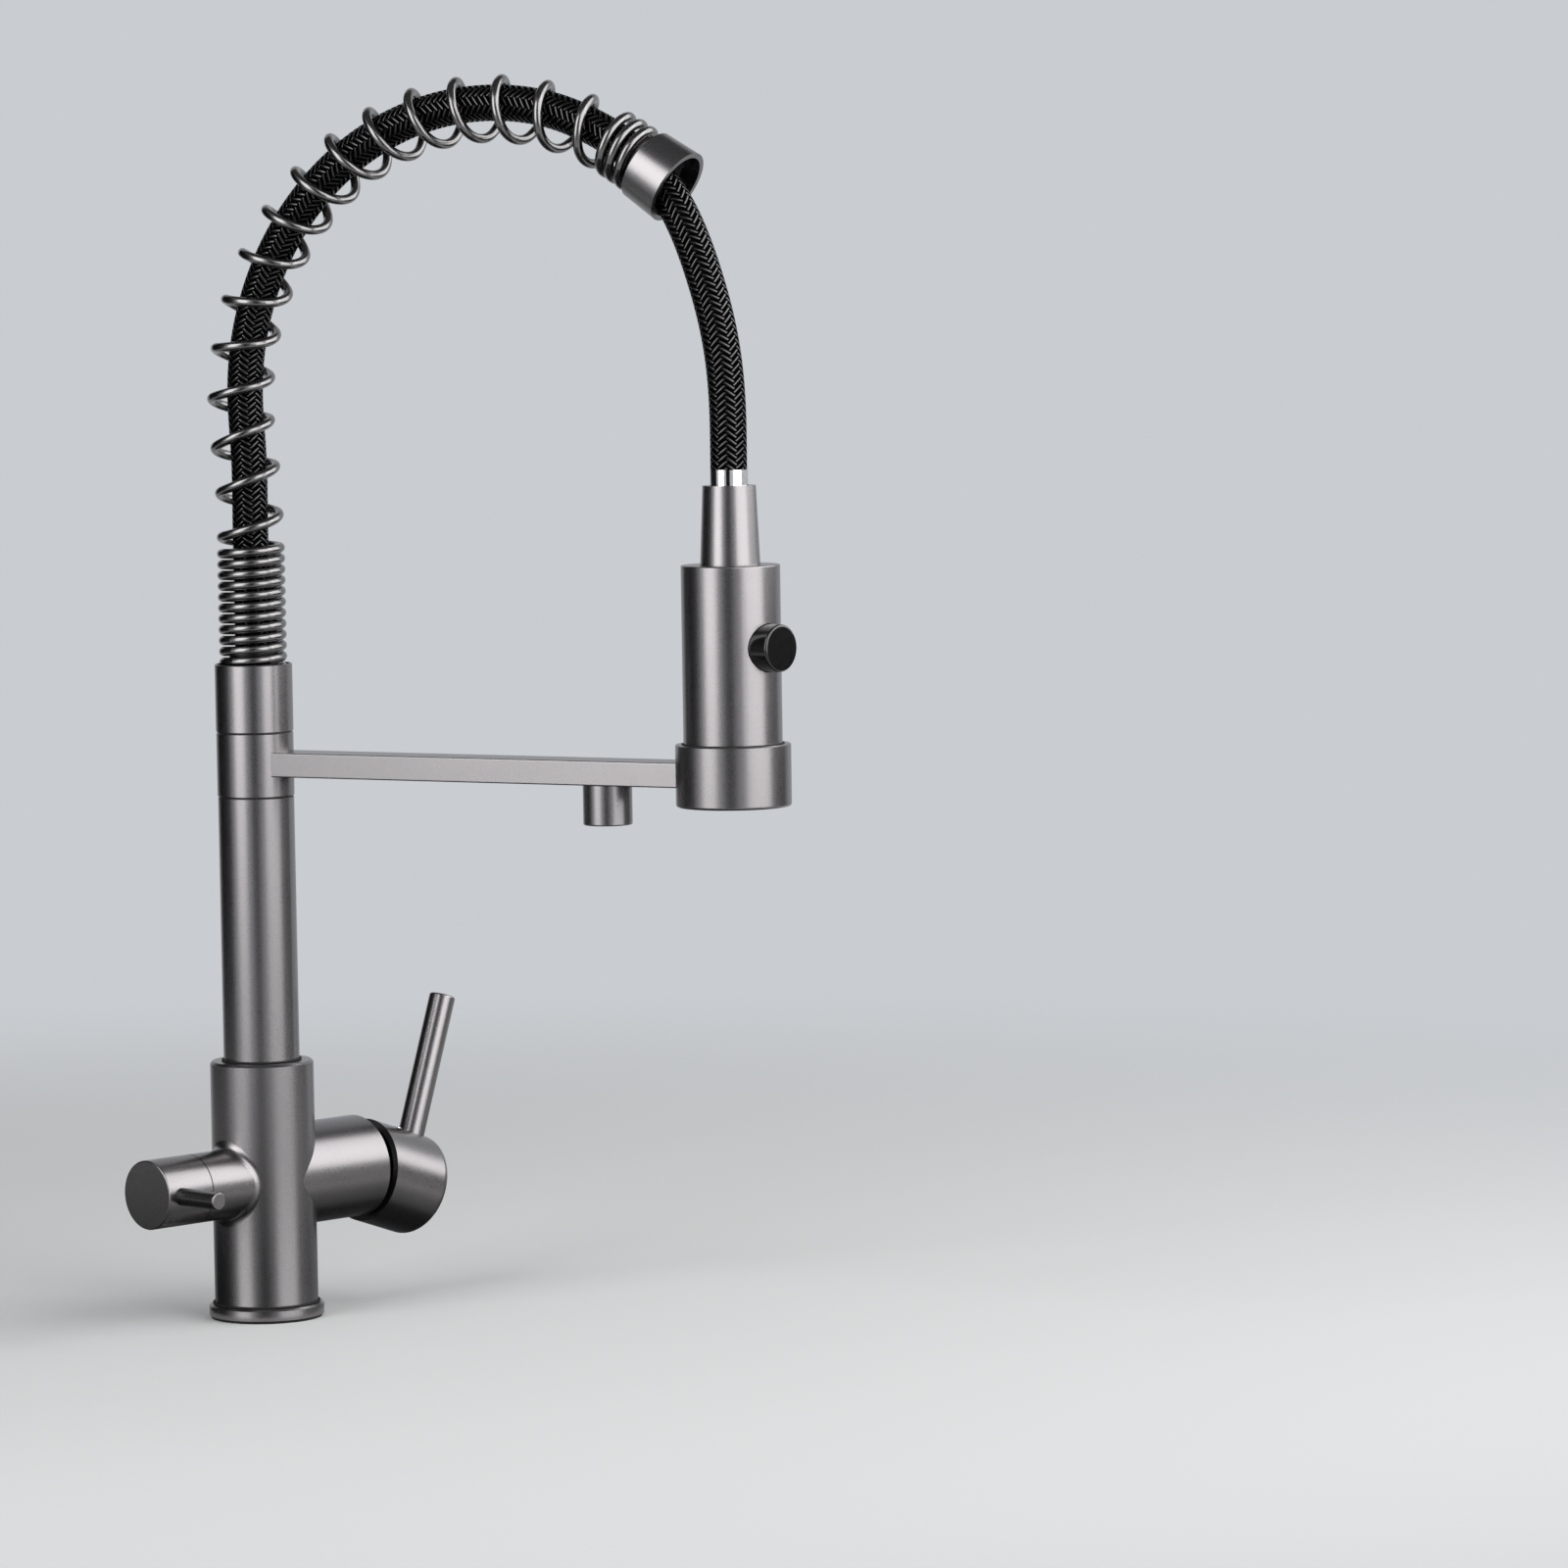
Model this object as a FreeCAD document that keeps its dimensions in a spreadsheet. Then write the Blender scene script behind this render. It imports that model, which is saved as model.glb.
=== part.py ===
import FreeCAD, Part
import math
import os
import Sketcher

# Kitchen filter mixer tap, real size in millimetres.
# The deck is the plane z = 0, the column stands on the Z axis and the arm points along +X.

doc = FreeCAD.newDocument("KitchenFilterTap")
V = FreeCAD.Vector

# Every driving size: its name in the sheet and its value. Lengths in mm, angles in degrees.
SIZES = {
    # deck side
    "gasket_thick": 1.2, "gasket_bore": 17.5, "gasket_radius": 24.2,
    "flange_thick": 5.0, "flange_bore": 17.2, "flange_radius": 25.0, "flange_chamfer": 0.8,
    "shank_radius": 16.4, "shank_bore": 13.0, "shank_drop": 52.0, "shank_grip": 10.0,
    "clamp_gap": 30.0, "clamp_radius": 27.0, "clamp_rubber_thick": 3.0, "clamp_washer_thick": 2.0,
    "nut_thick": 10.0, "nut_corner_radius": 23.5,
    # body casting
    "body_radius": 22.5, "body_length": 106.3, "body_chamfer": 1.0,
    "floor_thick": 12.0, "chamber_radius": 17.0, "crown_thick": 16.0,
    "spigot_radius": 15.0, "spigot_rise": 8.0,
    "port_radius": 4.45, "port_pitch_radius": 7.2,
    "branch_rise": 60.4, "branch_turn": 73.0,
    # column
    "column_radius": 16.5, "column_length": 114.9, "swivel_washer_thick": 0.6,
    "swivel_washer_radius": 16.1,
    "pillar_radius": 12.4, "pillar_waist": 11.0, "pillar_bore": 6.05, "pillar_cup_radius": 9.3,
    "pillar_cup_depth": 14.0, "seal_wire": 1.2, "run_gap": 0.05,
    "channel_radius": 1.2, "channel_pitch_radius": 8.6, "channel_groove_radius": 9.0,
    "channel_groove_half": 3.0, "waist_short": 11.4, "seal_inset": 4.0, "seal_slack": 0.2,
    "arm_collar_radius": 16.7, "arm_collar_length": 27.8,
    "top_collar_radius": 16.8, "top_collar_length": 29.1, "top_recess_radius": 15.8,
    "top_web_thick": 3.0, "top_web_bore": 9.6, "pillar_stub": 19.6, "edge_break": 0.4,
    # mixer branch, measured along the branch from the column axis
    "housing_root": 2.0, "housing_radius": 22.3, "housing_reach": 54.0, "cartridge_radius": 17.5,
    "cartridge_depth": 28.0, "shoulder_depth": 8.0, "cartridge_neck_radius": 15.0,
    "face_depth": 5.0, "well_depth": 16.0, "rotor_radius": 9.8, "rotor_gap": 0.1,
    "nut_depth": 2.0, "nut_opening": 10.6,
    "pivot_inset": 3.0, "pin_radius": 1.5, "dome_radius": 17.4, "dome_wall": 1.9,
    "dome_opening": 11.0, "stem_side": 8.0, "stem_tail": 8.0, "slot_length": 14.0,
    "slot_gap": 0.3, "lever_tilt": 19.0,
    "cap_radius": 22.3, "cap_wall": 3.0, "cap_rim": 7.8, "cap_length": 32.6, "cap_bevel": 9.3,
    "cap_end_thick": 3.5, "cap_round": 4.0, "hub_radius": 9.0, "hub_start": 20.0,
    "stem_reach": 32.0,
    "rod_radius": 5.8, "rod_reach": 85.4, "rod_inset": 9.5, "rod_round": 1.0,
    "mark_radius": 2.0, "mark_inset": 18.3, "mark_proud": 0.3,
    # filter branch
    "stub_root": 12.0, "stub_radius": 15.0, "stub_reach": 42.0, "stub_fillet": 4.0,
    "branch_port_radius": 2.6, "branch_port_pitch": 8.0, "branch_port_root": 14.0,
    "filter_port_radius": 4.0, "valve_seat_bore": 3.0, "valve_neck_radius": 8.0,
    "valve_radius": 9.0, "valve_start": 24.0, "valve_reach": 50.0, "valve_bore": 3.55,
    "spindle_radius": 3.5, "spindle_start": 34.5, "spindle_reach": 62.0,
    "knob_gap": 0.5, "knob_reach": 67.0, "knob_wall": 2.5, "knob_hub_start": 52.0,
    "knob_round": 0.6,
    "pin_lever_radius": 3.8, "pin_lever_inset": 7.0, "pin_lever_reach": 39.0,
    "pin_lever_root": 9.0, "pin_lever_round": 0.6,
    # arm
    "reach": 234.3, "bar_width": 19.0, "bar_height": 10.5, "bar_lift": 9.0, "bar_wall": 1.5,
    "bar_round": 0.6,
    "nozzle_back": 60.3, "nozzle_radius": 10.45, "nozzle_drop": 17.0, "nozzle_wall": 1.45,
    "nozzle_top": 4.0, "nozzle_thread_radius": 5.0, "nozzle_bore": 3.0, "nozzle_round": 0.6,
    "block_side": 12.0, "block_slack": 0.1, "tube_radius": 3.0, "tube_bore": 2.1,
    "aerator_inset": 0.6, "aerator_length": 6.5,
    "ring_radius": 24.3, "ring_bore": 21.8, "ring_drop": 7.7, "ring_height": 26.2,
    "ring_lip": 1.5, "ring_lip_bore": 20.0, "ring_round": 1.2,
    "liner_bore": 21.1, "liner_lip_bore": 19.6, "liner_lip": 1.5, "liner_short": 0.5,
    # spring and hose, drawn in the upright plane through the column and the docking ring
    "spring_radius": 14.75, "wire_radius": 2.05, "seat_thick": 2.0, "seat_sleeve": 10.0,
    "seat_radius": 14.9, "seat_sleeve_radius": 10.3,
    "lean_radius": 300.0, "arch_lean": 3.5, "arch_over": 13.2, "arch_lift": 111.3,
    "arch_fall": 33.0, "arch_tail": 8.7,
    "close_turns": 11.0, "end_turns": 2.5, "ramp_turns": 1.0, "close_pitch": 4.7,
    "end_pitch": 5.3,
    "open_pitch": 20.2, "spring_phase": 175.0,
    "spring_cap_radius": 15.6, "spring_cap_mouth": 16.5, "spring_cap_length": 17.2,
    "spring_cap_wall": 2.3, "spring_cap_bore": 9.0, "spring_cap_sleeve": 7.0,
    "spring_cap_sleeve_radius": 10.3,
    "hose_radius": 7.7, "hose_bore": 5.0, "hose_socket": 3.95, "hose_lean": 1.3, "hose_over": 13.0,
    "hose_lift": 115.0, "hose_arch_fall": 5.0, "hose_ease": 0.8945, "hose_ease_fall": 42.0,
    "hose_bend": 0.4988, "hose_straight": 20.0,
    "fitting_bore": 3.2, "fitting_spigot": 6.0,
    "fitting_radius": 9.2, "fitting_drop": 12.0, "fitting_rise": 28.0,
    # spray head
    "head_radius": 20.8, "head_wall": 1.8, "head_length": 98.15, "head_crown": 3.5,
    "head_round": 0.6,
    "neck_length": 33.1, "neck_top_radius": 11.2, "neck_foot_radius": 12.6,
    "neck_mouth": 8.4, "neck_lip": 2.0, "neck_well": 10.4, "neck_floor": 8.5,
    "neck_thread_radius": 9.5, "neck_thread": 8.5, "neck_bore": 5.1,
    "ferrule_radius": 8.05, "ferrule_proud": 6.6, "ferrule_seat": 3.0, "hose_inset": 2.0,
    "hose_nut_radius": 10.3, "hose_nut_short": 3.6, "tail_radius": 5.0, "tail_reach": 13.0,
    "button_turn": -14.0, "button_drop": 34.2, "button_radius": 9.95, "button_gap": 0.3,
    "button_face": 27.9, "button_back": 18.5, "button_travel": 3.0, "button_round": 1.0,
    "button_stem_radius": 3.0, "button_stem_tip": 8.0, "block_radius": 12.5,
    "block_lift": 11.65, "block_short": 9.0, "block_foot": 4.0, "boss_radius": 8.0,
    "boss_reach": 14.6, "boss_well": 6.2, "boss_well_floor": 12.6,
    "spring_small_radius": 5.2, "spring_small_wire": 0.4, "spring_small_turns": 3.0,
    "plate_thick": 4.0, "plate_inset": 0.8, "jet_radius": 0.8, "jet_ring_inner": 11.0,
    "jet_ring_outer": 15.5, "core_radius": 7.0,
}

sheet = doc.addObject("Spreadsheet::Sheet", "Sizes")
for row, (alias, number) in enumerate(SIZES.items(), start=1):
    sheet.set("A%d" % row, alias)
    sheet.set("B%d" % row, str(number))
    sheet.setAlias("B%d" % row, alias)
doc.recompute()


class Measure:
    """A size that carries its value and the sheet formula it comes from."""

    def __init__(self, value, text):
        self.value = value
        self.text = text

    def joined(self, other, sign, value):
        text = other.text if isinstance(other, Measure) else "%g" % other
        return Measure(value, "(%s %s %s)" % (self.text, sign, text))

    def __add__(self, other):
        return self.joined(other, "+", self.value + plain(other))

    def __sub__(self, other):
        return self.joined(other, "-", self.value - plain(other))

    def __mul__(self, other):
        return self.joined(other, "*", self.value * plain(other))

    def __truediv__(self, other):
        return self.joined(other, "/", self.value / plain(other))

    def __neg__(self):
        return Measure(-self.value, "(-1 * %s)" % self.text)


class Sizes:
    """Each named size of the sheet as an attribute."""

    def __init__(self):
        for alias in SIZES:
            setattr(self, alias, Measure(float(sheet.get(alias)), "Sizes." + alias))


def plain(measure):
    return measure.value if isinstance(measure, Measure) else float(measure)


def formula(measure):
    return measure.text if isinstance(measure, Measure) else "%g" % measure


def sine(angle):
    return Measure(math.sin(math.radians(plain(angle))), "sin(%s)" % formula(angle))


def cosine(angle):
    return Measure(math.cos(math.radians(plain(angle))), "cos(%s)" % formula(angle))


def tangent(angle):
    return Measure(math.tan(math.radians(plain(angle))), "tan(%s)" % formula(angle))


d = Sizes()
finished = []


def place(thing, x=0, y=0, z=0, yaw=0, pitch=0, roll=0):
    """Bind the whole placement of a sub-part to the sheet."""
    move = "create(<<vector>>; %s; %s; %s)" % (formula(x), formula(y), formula(z))
    turn = "create(<<rotation>>; %s; %s; %s)" % (formula(yaw), formula(pitch), formula(roll))
    thing.setExpression("Placement", "create(<<placement>>; %s; %s)" % (move, turn))


def keep(thing, label):
    thing.Label = label
    finished.append(thing)
    return thing


def newBody(label):
    return keep(doc.addObject("PartDesign::Body", label), label)


def newSketch(body, role, lift=None, slide=None):
    """A sketch on one of the body's own origin planes, lifted along its normal and slid up."""
    plane = [item for item in body.Origin.OriginFeatures if item.Role == role][0]
    sketch = body.newObject("Sketcher::SketchObject", body.Name + "_sketch")
    sketch.AttachmentSupport = [(plane, "")]
    sketch.MapMode = "FlatFace"
    if lift is not None:
        sketch.setExpression("AttachmentOffset.Base.z", formula(lift))
    if slide is not None:
        sketch.setExpression("AttachmentOffset.Base.y", formula(slide))
    return sketch


def fix(sketch, kind, corner, measure):
    """Hold one coordinate of a corner, on the axis or at a distance from it."""
    if plain(measure) == 0:
        axis = -2 if kind == "DistanceX" else -1
        sketch.addConstraint(Sketcher.Constraint("PointOnObject", corner, 1, axis))
        return
    index = sketch.addConstraint(Sketcher.Constraint(kind, -1, 1, corner, 1, plain(measure)))
    if isinstance(measure, Measure):
        sketch.setExpression("Constraints[%d]" % index, measure.text)


def outline(sketch, corners):
    """A closed outline of straight edges through corners given as pairs of sizes."""
    points = [V(plain(a), plain(b), 0) for a, b in corners]
    count = len(corners)
    for i in range(count):
        sketch.addGeometry(Part.LineSegment(points[i], points[(i + 1) % count]), False)
    for i in range(count):
        sketch.addConstraint(Sketcher.Constraint("Coincident", i, 2, (i + 1) % count, 1))
    for i, (a, b) in enumerate(corners):
        if i and formula(a) == formula(corners[i - 1][0]):
            sketch.addConstraint(Sketcher.Constraint("Vertical", i - 1))
        else:
            fix(sketch, "DistanceX", i, a)
        if i and formula(b) == formula(corners[i - 1][1]):
            sketch.addConstraint(Sketcher.Constraint("Horizontal", i - 1))
        else:
            fix(sketch, "DistanceY", i, b)
    return sketch


def circle(sketch, radius, x=0, y=0):
    """A circle whose centre and radius come from the sheet."""
    index = sketch.addGeometry(Part.Circle(V(plain(x), plain(y), 0), V(0, 0, 1), plain(radius)), False)
    for kind, measure in (("DistanceX", x), ("DistanceY", y)):
        if plain(measure) == 0:
            axis = -2 if kind == "DistanceX" else -1
            sketch.addConstraint(Sketcher.Constraint("PointOnObject", index, 3, axis))
        else:
            held = sketch.addConstraint(Sketcher.Constraint(kind, -1, 1, index, 3, plain(measure)))
            if isinstance(measure, Measure):
                sketch.setExpression("Constraints[%d]" % held, measure.text)
    held = sketch.addConstraint(Sketcher.Constraint("Radius", index, plain(radius)))
    if isinstance(radius, Measure):
        sketch.setExpression("Constraints[%d]" % held, radius.text)
    return sketch


def rectangle(sketch, low_x, low_y, high_x, high_y):
    return outline(sketch, [(low_x, low_y), (high_x, low_y), (high_x, high_y), (low_x, high_y)])


def feature(body, kind, sketch):
    item = body.newObject("PartDesign::" + kind, body.Name + "_" + kind.lower())
    item.Profile = sketch
    body.Tip = item
    return item


def spin(body, corners, axis="V_Axis", kind="Revolution"):
    """Turn an outline about Z (radius, height) or about X (distance along X, radius)."""
    sketch = outline(newSketch(body, "XZ_Plane"), corners)
    item = feature(body, kind, sketch)
    item.ReferenceAxis = (sketch, [axis])
    item.Angle = 360
    return item


def turned(label, corners, axis="V_Axis"):
    body = newBody(label)
    spin(body, corners, axis)
    return body


def extrude(body, kind, sketch, length, reverse=False, both=False):
    item = feature(body, kind, sketch)
    item.setExpression("Length", formula(length))
    item.Reversed = reverse
    item.Midplane = both
    return item


def ring(body, base, count, axis="N_Axis"):
    """Repeat a feature round the normal of its own sketch."""
    item = body.newObject("PartDesign::PolarPattern", body.Name + "_pattern")
    item.Originals = [base]
    item.Axis = (base.Profile[0], [axis])
    item.Angle = 360
    item.Occurrences = count
    body.Tip = item
    return item


def soften(body, kind, size, choose):
    """Fillet or chamfer the edges of the body that the test picks."""
    doc.recompute()
    base = body.Tip
    names = ["Edge%d" % (i + 1) for i, edge in enumerate(base.Shape.Edges) if choose(edge)]
    item = body.newObject("PartDesign::" + kind, body.Name + "_" + kind.lower())
    item.Base = (base, names)
    item.setExpression("Radius" if kind == "Fillet" else "Size", formula(size))
    body.Tip = item
    return item


def roundEdge(radius, along=None, axis="z"):
    """Test for a full circular edge of a radius, at a height along an axis when one is given."""
    def test(edge):
        if not isinstance(edge.Curve, Part.Circle) or abs(edge.Curve.Radius - plain(radius)) > 1e-4:
            return False
        return along is None or abs(getattr(edge.Curve.Center, axis) - plain(along)) < 1e-4
    return test


# Heights of the stack that stands on the deck, each from the piece below it
foot = d.gasket_thick + d.flange_thick
bodyTop = foot + d.body_length
columnTop = bodyTop + d.column_length
armFoot = columnTop + d.swivel_washer_thick
armTop = armFoot + d.arm_collar_length
collarFoot = armTop + d.swivel_washer_thick
collarTop = collarFoot + d.top_collar_length
pillarFoot = bodyTop - d.crown_thick
pillarTop = collarFoot + d.pillar_stub
cupFloor = pillarTop - d.pillar_cup_depth
webTop = pillarTop + d.top_web_thick
barLow = armFoot + d.bar_lift
barTop = barLow + d.bar_height
feed = barLow + d.bar_height / 2
ringLow = barLow - d.ring_drop
lipTop = ringLow + d.ring_lip
headLow = lipTop + d.liner_lip + d.run_gap
headTop = headLow + d.head_length
neckTop = headTop + d.neck_length
wellLow = headTop + d.neck_floor
ferruleLow = wellLow + d.ferrule_seat
ferruleTop = neckTop + d.ferrule_proud
buttonRise = headTop - d.button_drop

# Deck side: gasket, flange, threaded shank and the clamp under the deck
place(turned("base_gasket", [
    (d.gasket_bore, 0), (d.gasket_radius, 0),
    (d.gasket_radius, d.gasket_thick), (d.gasket_bore, d.gasket_thick),
]))

place(turned("base_flange", [
    (d.flange_bore, 0), (d.flange_radius, 0),
    (d.flange_radius, d.flange_thick - d.flange_chamfer),
    (d.flange_radius - d.flange_chamfer, d.flange_thick), (d.flange_bore, d.flange_thick),
]), z=d.gasket_thick)

place(turned("mounting_shank", [
    (d.shank_bore, -d.shank_drop), (d.shank_radius, -d.shank_drop),
    (d.shank_radius, foot + d.shank_grip), (d.shank_bore, foot + d.shank_grip),
]))


def clampRing(label, thick):
    return turned(label, [
        (d.shank_radius, 0), (d.clamp_radius, 0), (d.clamp_radius, thick), (d.shank_radius, thick),
    ])


rubberLow = -d.clamp_gap - d.clamp_rubber_thick
washerLow = rubberLow - d.clamp_washer_thick
place(clampRing("clamp_rubber", d.clamp_rubber_thick), z=rubberLow)
place(clampRing("clamp_washer", d.clamp_washer_thick), z=washerLow)

nut = newBody("clamp_nut")
hexagon = [(d.nut_corner_radius * math.cos(math.radians(60 * k)),
            d.nut_corner_radius * math.sin(math.radians(60 * k))) for k in range(6)]
sketch = newSketch(nut, "XY_Plane")
outline(sketch, hexagon)
extrude(nut, "Pad", sketch, d.nut_thick)
extrude(nut, "Pocket", circle(newSketch(nut, "XY_Plane"), d.shank_radius), d.nut_thick, reverse=True)
place(nut, z=washerLow - d.nut_thick)

# Body casting, drawn with the mixer branch along its own +X and the filter branch along -X
casting = newBody("body_casting")
branch = d.branch_rise - foot
chamberTop = d.body_length - d.crown_thick
cartridgeStart = d.housing_reach - d.cartridge_depth
spin(casting, [
    (0, d.shank_grip), (d.shank_radius, d.shank_grip), (d.shank_radius, 0), (d.body_radius, 0),
    (d.body_radius, d.body_length - d.body_chamfer),
    (d.body_radius - d.body_chamfer, d.body_length), (d.spigot_radius, d.body_length),
    (d.spigot_radius, d.body_length + d.spigot_rise),
    (d.pillar_radius, d.body_length + d.spigot_rise), (d.pillar_radius, chamberTop), (0, chamberTop),
])
sketch = circle(newSketch(casting, "YZ_Plane", d.housing_root, branch), d.housing_radius)
extrude(casting, "Pad", sketch, d.housing_reach - d.housing_root)
sketch = circle(newSketch(casting, "YZ_Plane", -d.stub_reach, branch), d.stub_radius)
extrude(casting, "Pad", sketch, d.stub_reach - d.stub_root)
soften(casting, "Fillet", d.stub_fillet,
       lambda edge: edge.CenterOfMass.x < -d.stub_root.value
       and not isinstance(edge.Curve, (Part.Circle, Part.Line)))
spin(casting, [
    (0, d.shank_grip), (d.chamber_radius, d.shank_grip), (d.chamber_radius, chamberTop),
    (0, chamberTop),
], kind="Groove")
sketch = circle(newSketch(casting, "YZ_Plane", d.housing_reach, branch), d.cartridge_radius)
extrude(casting, "Pocket", sketch, d.housing_reach - cartridgeStart)
sketch = circle(newSketch(casting, "YZ_Plane", cartridgeStart, branch),
                d.branch_port_radius, 0, d.branch_port_pitch)
ring(casting, extrude(casting, "Pocket", sketch, cartridgeStart - d.branch_port_root), 3)
sketch = circle(newSketch(casting, "YZ_Plane", -d.stub_reach, branch), d.valve_radius)
extrude(casting, "Pocket", sketch, d.stub_reach - d.valve_start, reverse=True)
sketch = circle(newSketch(casting, "YZ_Plane", -d.valve_start, branch), d.filter_port_radius)
extrude(casting, "Pocket", sketch, d.valve_start - d.branch_port_root, reverse=True)
place(casting, z=foot, yaw=d.branch_turn)

# The core closes the casting above the shank and takes the three supply hoses
core = newBody("inlet_core")
extrude(core, "Pad", circle(newSketch(core, "XY_Plane"), d.chamber_radius), d.floor_thick)
sketch = circle(newSketch(core, "XY_Plane", d.floor_thick), d.port_radius, d.port_pitch_radius)
ring(core, extrude(core, "Pocket", sketch, d.floor_thick), 3)
place(core, z=foot + d.shank_grip, yaw=d.branch_turn)

# Column: outer tube, inner pillar with its water channels, seals and swivel washers
place(turned("column_tube", [
    (d.spigot_radius, bodyTop), (d.column_radius, bodyTop),
    (d.column_radius, columnTop), (d.spigot_radius, columnTop),
]))

pillar = newBody("pillar")
spigotTop = bodyTop + d.spigot_rise
shoulder = columnTop - d.waist_short
entry = shoulder - d.channel_groove_half
lowSeal = armFoot + d.seal_inset
highSeal = armTop - d.seal_inset
sealFloor = d.pillar_radius - d.seal_wire * 2
sealHalf = d.seal_wire + d.seal_slack


def groove(middle, half, floor, outer):
    """The four corners of a ring groove in a turned outline, from below."""
    return [(outer, middle - half), (floor, middle - half),
            (floor, middle + half), (outer, middle + half)]


spin(pillar, [(d.pillar_bore, pillarFoot), (d.pillar_radius, pillarFoot),
              (d.pillar_radius, spigotTop), (d.pillar_waist, spigotTop)]
     + groove(entry, d.channel_groove_half / 2, d.channel_groove_radius, d.pillar_waist)
     + [(d.pillar_waist, shoulder), (d.pillar_radius, shoulder)]
     + groove(lowSeal, sealHalf, sealFloor, d.pillar_radius)
     + groove(feed, d.channel_groove_half, d.channel_groove_radius, d.pillar_radius)
     + groove(highSeal, sealHalf, sealFloor, d.pillar_radius)
     + [(d.pillar_radius, pillarTop), (d.pillar_cup_radius, pillarTop),
        (d.pillar_cup_radius, cupFloor), (d.pillar_bore, cupFloor)])
sketch = circle(newSketch(pillar, "XY_Plane", feed), d.channel_radius, d.channel_pitch_radius)
ring(pillar, extrude(pillar, "Pocket", sketch, feed - entry), 4)
place(pillar)


def sealRing(label, middle, outer, wire, x=0):
    """A round-section seal whose outside has the given radius."""
    seal = keep(doc.addObject("Part::Torus", label), label)
    seal.setExpression("Radius1", formula(outer - wire))
    seal.setExpression("Radius2", formula(wire))
    place(seal, x=x, z=middle)
    return seal


sealRing("arm_seal_low", lowSeal, d.pillar_radius, d.seal_wire)
sealRing("arm_seal_high", highSeal, d.pillar_radius, d.seal_wire)

for label, low in (("swivel_washer_low", columnTop), ("swivel_washer_high", armTop)):
    place(turned(label, [
        (d.pillar_radius + d.run_gap, 0), (d.swivel_washer_radius, 0),
        (d.swivel_washer_radius, d.swivel_washer_thick),
        (d.pillar_radius + d.run_gap, d.swivel_washer_thick),
    ]), z=low)

place(turned("top_collar", [
    (d.pillar_radius, collarFoot), (d.top_collar_radius, collarFoot),
    (d.top_collar_radius, collarTop - d.edge_break),
    (d.top_collar_radius - d.edge_break, collarTop), (d.top_recess_radius, collarTop),
    (d.top_recess_radius, webTop), (d.top_web_bore, webTop), (d.top_web_bore, pillarTop),
    (d.pillar_radius, pillarTop),
]))

# Mixer branch, each piece drawn along +X from the column axis
capEnd = d.cap_rim + d.cap_length
pivot = d.housing_reach - d.pivot_inset
cartridgeShoulder = d.housing_reach - d.shoulder_depth
cartridgeFace = d.housing_reach - d.face_depth
rotorWell = d.housing_reach - d.well_depth
nutFront = d.housing_reach - d.nut_depth


def onBranch(thing):
    place(thing, z=d.branch_rise, yaw=d.branch_turn)
    return thing


def onLever(thing):
    place(thing, x=pivot * cosine(d.branch_turn), y=pivot * sine(d.branch_turn),
          z=d.branch_rise, yaw=d.branch_turn, pitch=d.lever_tilt)
    return thing


cartridgeSkin = d.cartridge_radius - d.rotor_gap
onBranch(turned("mixer_cartridge", [
    (cartridgeStart, 0), (cartridgeStart, cartridgeSkin),
    (cartridgeShoulder, cartridgeSkin), (cartridgeShoulder, d.cartridge_neck_radius),
    (cartridgeFace, d.cartridge_neck_radius), (cartridgeFace, d.rotor_radius + d.rotor_gap),
    (rotorWell, d.rotor_radius + d.rotor_gap), (rotorWell, 0),
], axis="H_Axis"))

onBranch(turned("cartridge_nut", [
    (cartridgeShoulder, d.cartridge_neck_radius + d.run_gap),
    (cartridgeShoulder, d.cartridge_radius), (nutFront, d.cartridge_radius),
    (nutFront, d.nut_opening), (cartridgeFace + d.run_gap, d.nut_opening),
    (cartridgeFace + d.run_gap, d.cartridge_neck_radius + d.run_gap),
], axis="H_Axis"))

# The dome ring is a ball shell about the lever pivot, cut flat at the nut and opened in front
ball = doc.addObject("Part::Sphere", "dome_ball")
ball.setExpression("Radius", formula(d.dome_radius))
hollow = doc.addObject("Part::Sphere", "dome_hollow")
hollow.setExpression("Radius", formula(d.dome_radius - d.dome_wall))
shell = doc.addObject("Part::Cut", "dome_shell")
shell.Base = ball
shell.Tool = hollow
front = doc.addObject("Part::Cylinder", "dome_front")
front.setExpression("Radius", formula(d.dome_radius + 1))
front.setExpression("Height", formula(d.dome_radius + 1))
place(front, x=nutFront - pivot, pitch=90)
mouth = doc.addObject("Part::Cylinder", "dome_mouth")
mouth.setExpression("Radius", formula(d.dome_opening))
mouth.setExpression("Height", formula(d.dome_radius * 2))
place(mouth, pitch=90)
cup = doc.addObject("Part::Common", "dome_cup")
cup.Base = shell
cup.Tool = front
dome = keep(doc.addObject("Part::Cut", "dome_ring"), "dome_ring")
dome.Base = cup
dome.Tool = mouth
place(dome, x=pivot * cosine(d.branch_turn), y=pivot * sine(d.branch_turn),
      z=d.branch_rise, yaw=d.branch_turn)

rotor = turned("cartridge_rotor", [
    (rotorWell + d.run_gap, 0), (rotorWell + d.run_gap, d.rotor_radius),
    (d.housing_reach, d.rotor_radius), (d.housing_reach, 0),
], axis="H_Axis")
slotHalf = d.stem_side / 2 + d.slot_gap
slotReach = d.slot_length / 2
slotFloor = pivot - d.stem_tail - 1
sketch = rectangle(newSketch(rotor, "YZ_Plane", d.housing_reach),
                   -slotHalf, -slotReach, slotHalf, slotReach)
extrude(rotor, "Pocket", sketch, d.housing_reach - slotFloor)
sketch = circle(newSketch(rotor, "XZ_Plane"), d.pin_radius, pivot)
extrude(rotor, "Pocket", sketch, d.rotor_radius * 3, both=True)
onBranch(rotor)

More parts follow.
